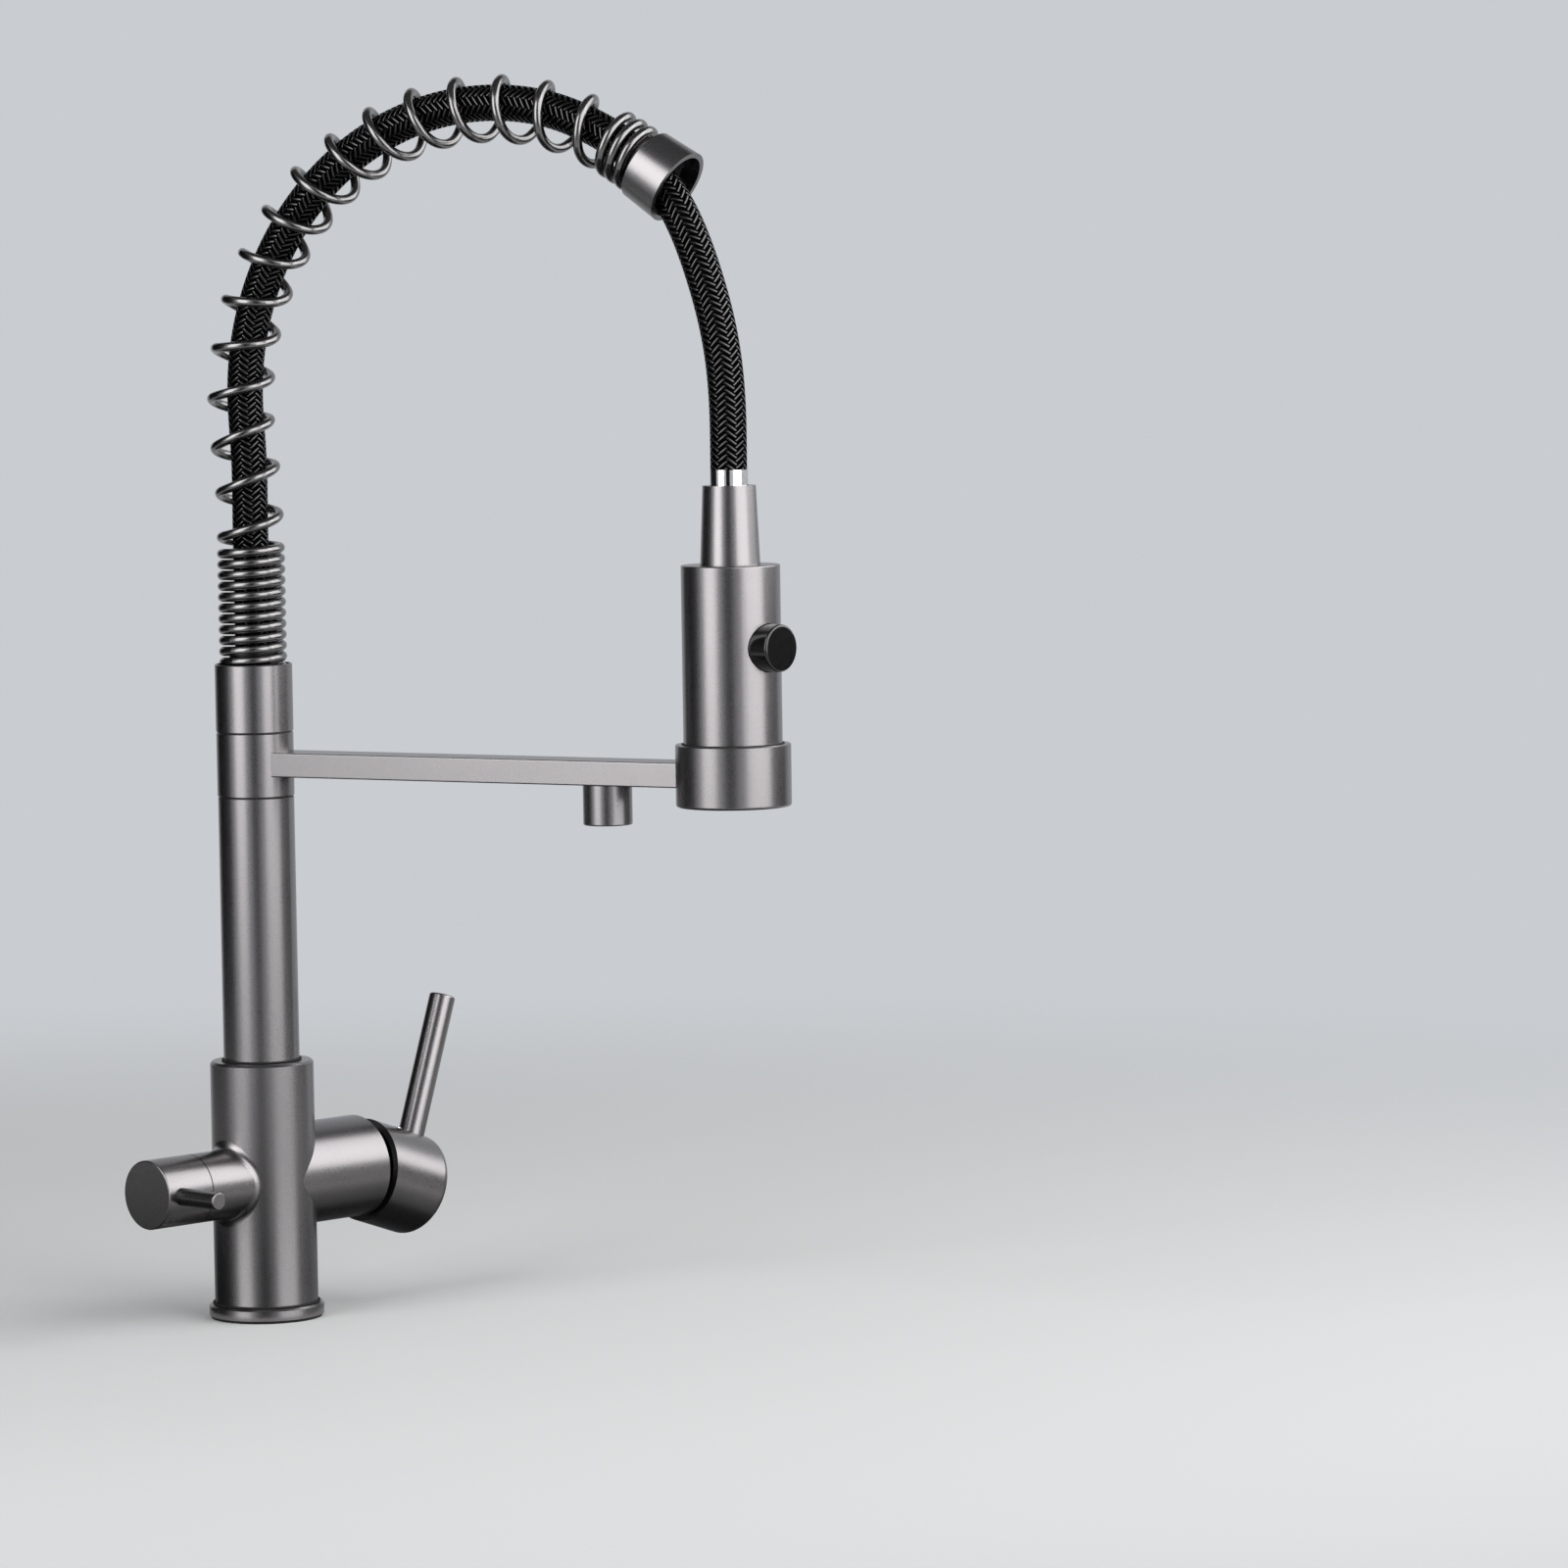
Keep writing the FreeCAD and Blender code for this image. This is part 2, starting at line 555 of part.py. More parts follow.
pin = keep(doc.addObject("Part::Cylinder", "pivot_pin"), "pivot_pin")
pinHalf = d.rotor_radius - d.run_gap * 4
pin.setExpression("Radius", formula(d.pin_radius))
pin.setExpression("Height", formula(pinHalf * 2))
place(pin, x=pivot * cosine(d.branch_turn) + pinHalf * sine(d.branch_turn),
      y=pivot * sine(d.branch_turn) - pinHalf * cosine(d.branch_turn),
      z=d.branch_rise, yaw=d.branch_turn, roll=-90)

stem = newBody("cartridge_stem")
stemHalf = d.stem_side / 2
sketch = rectangle(newSketch(stem, "YZ_Plane", -d.stem_tail), -stemHalf, -stemHalf, stemHalf, stemHalf)
extrude(stem, "Pad", sketch, d.stem_tail + d.stem_reach)
sketch = circle(newSketch(stem, "XZ_Plane"), d.pin_radius + d.run_gap)
extrude(stem, "Pocket", sketch, d.stem_side * 2, both=True)
onLever(stem)

cap = turned("lever_cap", [
    (d.pivot_inset, d.cap_radius), (capEnd, d.cap_radius), (capEnd, 0), (d.hub_start, 0),
    (d.hub_start, d.hub_radius), (capEnd - d.cap_end_thick, d.hub_radius),
    (capEnd - d.cap_end_thick, d.cap_radius - d.cap_wall),
    (d.pivot_inset, d.cap_radius - d.cap_wall),
], axis="H_Axis")
soften(cap, "Fillet", d.cap_round, roundEdge(d.cap_radius, capEnd, "x"))
sketch = rectangle(newSketch(cap, "YZ_Plane", d.hub_start), -stemHalf, -stemHalf, stemHalf, stemHalf)
extrude(cap, "Pocket", sketch, d.stem_reach - d.hub_start, reverse=True)
bevelReach = d.cap_radius + 4
bevelRun = bevelReach * tangent(d.cap_bevel)
sketch = outline(newSketch(cap, "XZ_Plane"), [
    (0, -bevelReach), (d.cap_rim + bevelRun, -bevelReach), (d.cap_rim - bevelRun, bevelReach),
    (0, bevelReach),
])
extrude(cap, "Pocket", sketch, bevelReach * 2, both=True)
rodRoot = d.cap_radius - d.cap_wall * 2
for radius, inset in ((d.rod_radius, d.rod_inset), (d.mark_radius, d.mark_inset)):
    sketch = circle(newSketch(cap, "XY_Plane", d.cap_radius + 1), radius, capEnd - inset)
    extrude(cap, "Pocket", sketch, d.cap_radius + 1 - rodRoot)
onLever(cap)

rod = newBody("lever_rod")
sketch = circle(newSketch(rod, "XY_Plane", rodRoot), d.rod_radius, capEnd - d.rod_inset)
extrude(rod, "Pad", sketch, d.rod_reach - rodRoot)
soften(rod, "Fillet", d.rod_round, roundEdge(d.rod_radius, d.rod_reach))
onLever(rod)

mark = newBody("lever_screw")
markTop = d.cap_radius + d.mark_proud
sketch = circle(newSketch(mark, "XY_Plane", rodRoot), d.mark_radius, capEnd - d.mark_inset)
extrude(mark, "Pad", sketch, markTop - rodRoot)
sketch = circle(newSketch(mark, "XY_Plane", markTop), d.mark_radius / 2, capEnd - d.mark_inset)
extrude(mark, "Pocket", sketch, d.mark_radius / 2)
onLever(mark)

# Filter branch, drawn along -X of the same frame
onBranch(turned("filter_valve", [
    (-d.valve_start, d.valve_seat_bore), (-d.valve_start, d.valve_radius),
    (-d.stub_reach, d.valve_radius), (-d.stub_reach, d.valve_neck_radius),
    (-d.valve_reach, d.valve_neck_radius), (-d.valve_reach, d.valve_bore),
    (-d.spindle_start + d.knob_gap, d.valve_bore), (-d.spindle_start + d.knob_gap, d.valve_seat_bore),
], axis="H_Axis"))

onBranch(turned("filter_spindle", [
    (-d.spindle_start, 0), (-d.spindle_start, d.spindle_radius),
    (-d.spindle_reach, d.spindle_radius), (-d.spindle_reach, 0),
], axis="H_Axis"))

knob = turned("filter_knob", [
    (-d.stub_reach - d.knob_gap, d.stub_radius), (-d.knob_reach, d.stub_radius),
    (-d.knob_reach, 0), (-d.spindle_reach, 0), (-d.spindle_reach, d.spindle_radius),
    (-d.knob_hub_start, d.spindle_radius), (-d.knob_hub_start, d.stub_radius - d.knob_wall),
    (-d.stub_reach - d.knob_gap, d.stub_radius - d.knob_wall),
], axis="H_Axis")
soften(knob, "Fillet", d.knob_round, roundEdge(d.stub_radius, -d.knob_reach, "x"))
pinAt = -d.knob_reach + d.pin_lever_inset
sketch = circle(newSketch(knob, "XZ_Plane", d.stub_radius + 1), d.pin_lever_radius, pinAt)
extrude(knob, "Pocket", sketch, d.stub_radius + 1 - d.pin_lever_root)
onBranch(knob)

pinLever = newBody("filter_pin")
sketch = circle(newSketch(pinLever, "XZ_Plane", d.pin_lever_root), d.pin_lever_radius, pinAt)
extrude(pinLever, "Pad", sketch, d.pin_lever_reach - d.pin_lever_root)
soften(pinLever, "Fillet", d.pin_lever_round,
       roundEdge(d.pin_lever_radius, -d.pin_lever_reach, "y"))
onBranch(pinLever)

# Arm: collar on the pillar, hollow bar, docking ring, and the filtered-water nozzle
armCollar = turned("arm_collar", [
    (d.pillar_radius + d.run_gap, armFoot), (d.arm_collar_radius - d.edge_break, armFoot),
    (d.arm_collar_radius, armFoot + d.edge_break), (d.arm_collar_radius, armTop - d.edge_break),
    (d.arm_collar_radius - d.edge_break, armTop), (d.pillar_radius + d.run_gap, armTop),
])
sketch = circle(newSketch(armCollar, "YZ_Plane", d.arm_collar_radius + 1, feed), d.tube_radius)
extrude(armCollar, "Pocket", sketch, d.arm_collar_radius - d.pillar_waist)
place(armCollar)

bar = newBody("arm_bar")
nozzleAt = d.reach - d.nozzle_back
barHalf = d.bar_width / 2
sketch = rectangle(newSketch(bar, "YZ_Plane"), -barHalf, barLow, barHalf, barTop)
extrude(bar, "Pad", sketch, d.reach)
soften(bar, "Fillet", d.bar_round,
       lambda edge: isinstance(edge.Curve, Part.Line) and abs(edge.Curve.Direction.x) > 0.9)
sketch = rectangle(newSketch(bar, "YZ_Plane"), -barHalf + d.bar_wall, barLow + d.bar_wall,
                   barHalf - d.bar_wall, barTop - d.bar_wall)
extrude(bar, "Pocket", sketch, d.reach, reverse=True)
for radius, x in ((d.arm_collar_radius, 0), (d.ring_radius, d.reach)):
    sketch = circle(newSketch(bar, "XY_Plane", barTop), radius, x)
    extrude(bar, "Pocket", sketch, d.bar_height)
sketch = circle(newSketch(bar, "XY_Plane", barLow + d.bar_wall), d.nozzle_thread_radius, nozzleAt)
extrude(bar, "Pocket", sketch, d.bar_wall)
place(bar)

blockHalf = d.block_side / 2
tubeStart = d.pillar_radius + d.edge_break * 2
place(turned("arm_tube", [
    (tubeStart, d.tube_bore), (nozzleAt - blockHalf, d.tube_bore),
    (nozzleAt - blockHalf, d.tube_radius), (tubeStart, d.tube_radius),
], axis="H_Axis"), z=feed)

block = newBody("nozzle_block")
blockLow = barLow + d.bar_wall
threadTop = blockLow + d.nozzle_thread_radius / 2
sketch = rectangle(newSketch(block, "XY_Plane", blockLow),
                   nozzleAt - blockHalf, -blockHalf, nozzleAt + blockHalf, blockHalf)
extrude(block, "Pad", sketch, d.bar_height - d.bar_wall * 2 - d.block_slack)
sketch = circle(newSketch(block, "XY_Plane", threadTop), d.nozzle_thread_radius, nozzleAt)
extrude(block, "Pocket", sketch, threadTop - blockLow)
sketch = circle(newSketch(block, "YZ_Plane", nozzleAt, feed), d.tube_bore)
extrude(block, "Pocket", sketch, d.block_side)
place(block)

nozzleLow = barLow - d.nozzle_drop
nozzleCup = d.nozzle_radius - d.nozzle_wall
nozzle = turned("filter_nozzle", [
    (d.nozzle_bore, threadTop), (d.nozzle_thread_radius, threadTop),
    (d.nozzle_thread_radius, barLow), (d.nozzle_radius, barLow),
    (d.nozzle_radius, nozzleLow), (nozzleCup, nozzleLow),
    (nozzleCup, barLow - d.nozzle_top), (d.nozzle_bore, barLow - d.nozzle_top),
])
soften(nozzle, "Fillet", d.nozzle_round, roundEdge(d.nozzle_radius, nozzleLow))
place(nozzle, x=nozzleAt)

aeratorLow = nozzleLow + d.aerator_inset
place(turned("filter_aerator", [
    (0, aeratorLow + d.edge_break * 2), (nozzleCup * 0.72, aeratorLow + d.edge_break * 2),
    (nozzleCup * 0.72, aeratorLow), (nozzleCup, aeratorLow),
    (nozzleCup, aeratorLow + d.aerator_length), (0, aeratorLow + d.aerator_length),
]), x=nozzleAt)

ringTop = ringLow + d.ring_height
dock = turned("dock_ring", [
    (d.ring_lip_bore, ringLow), (d.ring_radius, ringLow),
    (d.ring_radius, ringTop - d.edge_break), (d.ring_radius - d.edge_break, ringTop),
    (d.ring_bore, ringTop), (d.ring_bore, lipTop), (d.ring_lip_bore, lipTop),
])
soften(dock, "Fillet", d.ring_round, roundEdge(d.ring_radius, ringLow))
place(dock, x=d.reach)

place(turned("dock_liner", [
    (d.liner_lip_bore, lipTop), (d.ring_bore, lipTop), (d.ring_bore, ringTop - d.liner_short),
    (d.liner_bore, ringTop - d.liner_short), (d.liner_bore, lipTop + d.liner_lip),
    (d.liner_lip_bore, lipTop + d.liner_lip),
]), x=d.reach)

# Spring, its seat and end cap, and the hose with its swivel fitting in the column. The hose
# lies against the inside of the spring up the column and against its outside over the arch.
fittingStep = cupFloor + d.run_gap
fittingLow = fittingStep - d.fitting_drop
hoseLow = fittingStep + d.hose_socket
smallWire = d.seal_wire / 1.5
place(turned("hose_fitting", [
    (d.fitting_bore, fittingLow), (d.fitting_spigot, fittingLow)]
    + groove(fittingLow + d.seal_inset, smallWire + d.seal_slack / 2,
             d.fitting_spigot - smallWire * 2, d.fitting_spigot)
    + [(d.fitting_spigot, fittingStep), (d.fitting_radius, fittingStep),
       (d.fitting_radius, fittingStep + d.fitting_rise),
       (d.hose_radius, fittingStep + d.fitting_rise), (d.hose_radius, hoseLow),
       (d.fitting_bore, hoseLow)]))
sealRing("fitting_seal", fittingLow + d.seal_inset, d.fitting_spigot, smallWire)

seatLow = webTop + d.run_gap
seatTop = seatLow + d.seat_thick
place(turned("spring_seat", [
    (d.fitting_radius, seatLow), (d.seat_radius, seatLow), (d.seat_radius, seatTop),
    (d.seat_sleeve_radius, seatTop), (d.seat_sleeve_radius, seatTop + d.seat_sleeve),
    (d.fitting_radius, seatTop + d.seat_sleeve),
]))

archRadius = (d.reach + d.arch_over + d.arch_lean) / 2
archCentre = archRadius - d.arch_lean
archHeight = collarTop + d.arch_lift
capX = archCentre + archRadius * sine(d.arch_fall) + d.arch_tail * cosine(d.arch_fall)
capZ = archHeight + archRadius * cosine(d.arch_fall) - d.arch_tail * sine(d.arch_fall)
capMouth = d.spring_cap_mouth - d.spring_cap_wall
place(turned("spring_cap", [
    (-d.spring_cap_sleeve, d.spring_cap_bore), (-d.spring_cap_sleeve, d.spring_cap_sleeve_radius),
    (0, d.spring_cap_sleeve_radius), (0, d.spring_cap_radius),
    (d.spring_cap_length, d.spring_cap_mouth), (d.spring_cap_length, capMouth),
    (d.spring_cap_bore, capMouth), (d.edge_break * 4, d.spring_cap_bore),
], axis="H_Axis"), x=capX, z=capZ, pitch=d.arch_fall)


class Route:
    """A tangent chain of straights and arcs in the upright plane of the arm."""

    def __init__(self, x, z, heading):
        self.x = x
        self.z = z
        self.heading = math.radians(heading)
        self.pieces = []
        self.length = 0.0

    def add(self, length, curve):
        """Go on for a length; curve is the turn to the right per millimetre, 0 for a straight."""
        self.pieces.append((self.length, length, self.x, self.z, self.heading, curve))
        self.x, self.z, self.heading = step(self.x, self.z, self.heading, curve, length)
        self.length += length

    def straight(self, length):
        self.add(length, 0.0)

    def bend(self, radius, degrees):
        """An arc, to the right for a positive angle and to the left for a negative one."""
        sign = 1 if degrees > 0 else -1
        self.add(radius * math.radians(abs(degrees)), sign / radius)

    def at(self, distance):
        """Point and heading at a distance from the start."""
        for start, length, x, z, heading, curve in self.pieces:
            if distance <= start + length + 1e-9:
                break
        return step(x, z, heading, curve, distance - start)

    def edges(self):
        result = []
        for start, length, x, z, heading, curve in self.pieces:
            ends = [step(x, z, heading, curve, part * length) for part in (0, 0.5, 1)]
            points = [V(px, 0, pz) for px, pz, _ in ends]
            if curve == 0:
                result.append(Part.LineSegment(points[0], points[2]).toShape())
            else:
                result.append(Part.Arc(*points).toShape())
        return result


def step(x, z, heading, curve, length):
    """Where a straight or a right-hand arc has come to after a length."""
    if curve == 0:
        return x + length * math.cos(heading), z + length * math.sin(heading), heading
    turn = heading - curve * length
    return (x + (math.sin(heading) - math.sin(turn)) / curve,
            z + (math.cos(turn) - math.cos(heading)) / curve, turn)


size = {alias: float(sheet.get(alias)) for alias in SIZES}


def archRoute(low, back, height, radius, fall):
    """Up the column, a slight lean back, then over an arch to a falling heading.

    The arch's centre is at the height, and its side lies back past the column axis.
    """
    leaned = math.acos(1 - back / (size["lean_radius"] + radius))
    lean = math.degrees(leaned)
    route = Route(0.0, low, 90.0)
    route.straight(height - (size["lean_radius"] + radius) * math.sin(leaned) - low)
    route.bend(size["lean_radius"], -lean)
    route.bend(radius, lean + 90.0 + fall)
    return route


def tube(edges, start, along, radius):
    """A solid of round section swept along edges in the default mode."""
    section = Part.Wire([Part.makeCircle(radius, start, along)])
    return Part.Wire(edges).makePipeShell([section], True, False)


def biarc(p, q, t, u):
    """Two arcs from p to q that start along t and end along u."""
    chord = q - p
    both = t + u
    spread = 2 * (1 - t.dot(u))
    reach = (-chord.dot(both) + math.sqrt(chord.dot(both) ** 2 + spread * chord.dot(chord))) / spread
    joint = (p + q + (t - u) * reach) * 0.5
    return [arcFrom(p, joint, t), arcFrom(q, joint, -u)]


def arcFrom(p, q, t):
    """The arc from p to q that leaves p along t."""
    chord = q - p
    along = chord * (1 / chord.Length)
    side = t - along * t.dot(along)
    side.normalize()
    half = math.acos(max(-1.0, min(1.0, t.dot(along)))) / 2
    return Part.Arc(p, (p + q) * 0.5 + side * (chord.Length / 2 * math.tan(half)), q).toShape()


def coil(point, turns, stepsPerTurn, tail, radius):
    """One unbroken round wire through a curve of turns, with a straight tail at both ends."""
    count = int(round(turns * stepsPerTurn))
    places = [turns * i / count for i in range(count + 1)]
    points = [point(turn) for turn in places]
    small = 1e-4
    tangents = []
    for turn in places:
        along = point(turn + small) - point(turn - small)
        along.normalize()
        tangents.append(along)
    edges = [Part.LineSegment(points[0] - tangents[0] * tail, points[0]).toShape()]
    for i in range(count):
        edges += biarc(points[i], points[i + 1], tangents[i], tangents[i + 1])
    edges.append(Part.LineSegment(points[-1], points[-1] + tangents[-1] * tail).toShape())
    return tube(edges, points[0] - tangents[0] * tail, tangents[0], radius)


def selfGap(point, turns, radius):
    """The least gap between neighbouring turns, measured on points of the centre line."""
    samples = 48
    dots = [point(i / samples) for i in range(int(turns * samples) + 1)]
    least = 1e9
    for i, dot in enumerate(dots):
        for other in dots[i + samples // 2:i + samples * 2]:
            least = min(least, (other - dot).Length)
    return least - 2 * radius


# The wire's straight ends run on a little along the spring, and come to rest on seat and cap
springCentre = size["spring_radius"] - size["wire_radius"]
footRun = size["wire_radius"] * size["close_pitch"] / math.pi / springCentre
capRun = size["wire_radius"] * size["end_pitch"] / math.pi / springCentre
springRoute = archRoute(seatTop.value + size["wire_radius"] + footRun, size["arch_lean"],
                        archHeight.value, archRadius.value, size["arch_fall"])
springRoute.straight(size["arch_tail"] - size["wire_radius"] - capRun)
opening = size["open_pitch"] - size["close_pitch"]
closing = size["open_pitch"] - size["end_pitch"]
springTurns = (springRoute.length + opening * (size["close_turns"] + size["ramp_turns"] / 2)
               + closing * (size["end_turns"] + size["ramp_turns"] / 2)) / size["open_pitch"]


def ramp(turn):
    """The integral of a pitch that rises smoothly from 0 to 1 over the ramp's turns."""
    width = size["ramp_turns"]
    if turn <= 0:
        return 0.0
    if turn >= width:
        return turn - width / 2
    return (turn - width / math.pi * math.sin(math.pi * turn / width)) / 2


def springPoint(turn):
    """The wire's centre after a number of turns, close at the foot, open over the arch."""
    opened = ramp(turn - size["close_turns"])
    closed = ramp(turn - springTurns + size["end_turns"] + size["ramp_turns"])
    x, z, heading = springRoute.at(size["close_pitch"] * turn + opening * opened
                                   - closing * closed)
    left = V(-math.sin(heading), 0, math.cos(heading))
    angle = math.radians(size["spring_phase"]) + 2 * math.pi * turn
    across = left * math.cos(angle) + V(0, -1, 0) * math.sin(angle)
    return V(x, 0, z) + across * springCentre


spring = keep(doc.addObject("Part::Feature", "spring"), "spring")
spring.Shape = coil(springPoint, springTurns, 2, size["wire_radius"] * 2, size["wire_radius"])
print("spring turns %.1f, least gap to itself %.2f mm"
      % (springTurns, selfGap(springPoint, springTurns, size["wire_radius"])))



def hoseDown(fall):
    """The hose's route for a heading at which it leaves its tight bend and eases to plumb."""
    radius = (size["reach"] + size["hose_over"] + size["hose_lean"]) / 2
    route = archRoute(hoseLow.value, size["hose_lean"], collarTop.value + size["hose_lift"],
                      radius, size["hose_arch_fall"])
    route.bend(radius * size["hose_ease"], size["hose_ease_fall"] - size["hose_arch_fall"])
    route.bend(radius * size["hose_bend"], fall - size["hose_ease_fall"])
    route.bend((size["reach"] - route.x) / (1 - math.sin(math.radians(fall))), 90.0 - fall)
    return route


# The hose turns plumb a little above its ferrule, over the middle of the head
plumbHeight = ferruleTop.value + size["hose_straight"]
gentle, steep = size["hose_ease_fall"] + 1, 89.0
while steep - gentle > 1e-9:
    middle = (gentle + steep) / 2
    if hoseDown(middle).z > plumbHeight:
        gentle = middle
    else:
        steep = middle
hoseRoute = hoseDown(steep)
hoseRoute.straight(hoseRoute.z - ferruleLow.value - size["hose_inset"])
hose = keep(doc.addObject("Part::Feature", "spray_hose"), "spray_hose")
start = V(0, 0, hoseLow.value)
hose.Shape = tube(hoseRoute.edges(), start, V(0, 0, 1), size["hose_radius"]).cut(
    tube(hoseRoute.edges(), start, V(0, 0, 1), size["hose_bore"]))
nearest = 1e9
for i in range(int(springRoute.length)):
    x, z, heading = springRoute.at(float(i))
    off = min(math.hypot(x - hx, z - hz) for hx, hz, _ in
              (hoseRoute.at(float(k)) for k in range(int(hoseRoute.length))))
    nearest = min(nearest, size["spring_radius"] - 2 * size["wire_radius"] - size["hose_radius"] - off)
section = math.pi * (size["hose_radius"] ** 2 - size["hose_bore"] ** 2)
print("hose length %.1f mm, volume over section times length %.4f, room in the spring %.2f mm"
      % (hoseRoute.length, hose.Shape.Volume / section / hoseRoute.length, nearest))

# Spray head, drawn with the button along +X of its own frame
def onHead(thing):
    place(thing, x=d.reach, yaw=d.button_turn)
    return thing


nutLow = wellLow + d.edge_break
nutTop = neckTop - d.hose_nut_short
tailLow = wellLow - d.tail_reach
onHead(turned("hose_ferrule", [
    (d.hose_radius, ferruleLow), (d.ferrule_radius, ferruleLow),
    (d.ferrule_radius, ferruleTop), (d.hose_radius, ferruleTop),
]))

onHead(turned("hose_nut", [
    (d.fitting_bore, tailLow), (d.tail_radius, tailLow), (d.tail_radius, nutLow),
    (d.hose_nut_radius, nutLow), (d.hose_nut_radius, nutTop),
    (d.ferrule_radius, nutTop), (d.ferrule_radius, ferruleLow),
    (d.fitting_bore, ferruleLow),
]))

threadLow = headTop - d.neck_thread
onHead(turned("neck_sleeve", [
    (d.neck_mouth, neckTop), (d.neck_top_radius, neckTop),
    (d.neck_foot_radius, headTop), (d.neck_thread_radius, headTop),
    (d.neck_thread_radius, threadLow), (d.neck_bore, threadLow), (d.neck_bore, wellLow),
    (d.neck_well, wellLow), (d.neck_well, neckTop - d.neck_lip),
    (d.neck_mouth, neckTop - d.neck_lip),
]))

headBore = d.head_radius - d.head_wall
crownLow = headTop - d.head_crown
head = turned("head_shell", [
    (d.head_radius, headLow), (d.head_radius, headTop), (d.neck_thread_radius, headTop),
    (d.neck_thread_radius, crownLow), (headBore, crownLow), (headBore, headLow),
])
soften(head, "Fillet", d.head_round, roundEdge(d.head_radius, headTop))
sketch = circle(newSketch(head, "YZ_Plane", d.head_radius + 1, buttonRise),
                d.button_radius + d.button_gap)
extrude(head, "Pocket", sketch, d.head_radius + 1 - d.boss_reach)
onHead(head)

blockLow = headLow + d.block_lift
blockTop = headTop - d.block_short
blockFoot = blockLow - d.block_foot
diverter = turned("diverter_block", [
    (d.stem_side / 2, blockFoot), (headBore, blockFoot), (headBore, blockLow),
    (d.block_radius, blockLow), (d.block_radius, blockTop), (d.stem_side / 2, blockTop),
])
sketch = circle(newSketch(diverter, "YZ_Plane", d.boss_radius, buttonRise), d.boss_radius)
extrude(diverter, "Pad", sketch, d.boss_reach - d.boss_radius)
sketch = circle(newSketch(diverter, "YZ_Plane", d.boss_reach, buttonRise),
                d.button_stem_radius + d.rotor_gap)
extrude(diverter, "Pocket", sketch, d.boss_reach)
sketch = circle(newSketch(diverter, "YZ_Plane", d.boss_reach, buttonRise), d.boss_well)
extrude(diverter, "Pocket", sketch, d.boss_reach - d.boss_well_floor)
onHead(diverter)


def onButton(thing):
    place(thing, x=d.reach, z=buttonRise, yaw=d.button_turn)
    return thing


button = turned("spray_button", [
    (d.button_back, 0), (d.button_back, d.button_radius), (d.button_face, d.button_radius),
    (d.button_face, 0),
], axis="H_Axis")
soften(button, "Fillet", d.button_round, roundEdge(d.button_radius, d.button_face, "x"))
onButton(button)
onButton(turned("button_stem", [
    (d.button_stem_tip, 0), (d.button_stem_tip, d.button_stem_radius),
    (d.button_back, d.button_stem_radius), (d.button_back, 0),
], axis="H_Axis"))


def smallPoint(turn):
    """The wire's centre of the small spring behind the button, along its own X."""
    angle = 2 * math.pi * turn
    radius = size["spring_small_radius"] - size["spring_small_wire"]
    low = size["boss_well_floor"] + size["spring_small_wire"]
    room = size["button_back"] - size["boss_well_floor"] - 2 * size["spring_small_wire"]
    return V(low + room * turn / size["spring_small_turns"],
             radius * math.cos(angle), radius * math.sin(angle))


smallSpring = keep(doc.addObject("Part::Feature", "button_spring"), "button_spring")
smallSpring.Shape = coil(smallPoint, size["spring_small_turns"], 2, 0.4, size["spring_small_wire"])
onButton(smallSpring)

plateLow = headLow + d.plate_inset
plate = turned("spray_plate", [
    (d.core_radius, plateLow), (headBore, plateLow), (headBore, plateLow + d.plate_thick),
    (d.core_radius, plateLow + d.plate_thick),
])
for count, pitch in ((12, d.jet_ring_inner), (18, d.jet_ring_outer)):
    sketch = circle(newSketch(plate, "XY_Plane", plateLow + d.plate_thick), d.jet_radius, pitch)
    ring(plate, extrude(plate, "Pocket", sketch, d.plate_thick), count)
onHead(plate)

coreLow = headLow + d.edge_break
onHead(turned("centre_aerator", [
    (0, coreLow + d.plate_inset), (d.core_radius - d.plate_inset, coreLow + d.plate_inset),
    (d.core_radius - d.plate_inset, coreLow), (d.core_radius, coreLow),
    (d.core_radius, blockFoot), (0, blockFoot),
]))

sealGap = (blockFoot - plateLow - d.plate_thick) / 2
sealRing("head_seal", blockFoot - sealGap, headBore, sealGap, x=d.reach)

doc.recompute()
for item in doc.Objects:
    if "Invalid" in item.State or "Error" in item.State:
        raise RuntimeError("broken object: " + item.Name)

os.makedirs("parts", exist_ok=True)
for thing in finished:
    shape = thing.Shape
    if shape.isNull() or not shape.isValid() or len(shape.Solids) != 1:
        raise RuntimeError("bad shape: %s, %d solids" % (thing.Label, len(shape.Solids)))
    shape.exportStep("parts/%s.step" % thing.Label)
print("wrote %d sub-parts" % len(finished))
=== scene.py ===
import math

import bmesh
import bpy
from mathutils import Matrix, Vector


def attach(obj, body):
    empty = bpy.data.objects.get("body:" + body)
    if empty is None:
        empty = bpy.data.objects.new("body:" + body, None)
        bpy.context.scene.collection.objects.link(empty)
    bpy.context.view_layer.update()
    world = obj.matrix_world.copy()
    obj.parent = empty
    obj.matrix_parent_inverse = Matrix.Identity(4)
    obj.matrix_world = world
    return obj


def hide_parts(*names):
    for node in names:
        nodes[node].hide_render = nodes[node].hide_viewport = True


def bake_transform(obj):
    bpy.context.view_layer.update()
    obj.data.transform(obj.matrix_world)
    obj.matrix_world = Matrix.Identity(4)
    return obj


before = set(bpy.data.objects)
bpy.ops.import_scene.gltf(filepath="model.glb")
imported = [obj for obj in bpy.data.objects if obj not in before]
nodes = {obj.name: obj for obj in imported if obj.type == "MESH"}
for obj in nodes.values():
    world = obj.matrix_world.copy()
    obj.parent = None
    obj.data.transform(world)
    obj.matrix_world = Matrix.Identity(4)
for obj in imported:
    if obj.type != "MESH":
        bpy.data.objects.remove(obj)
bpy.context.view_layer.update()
scene = bpy.context.scene
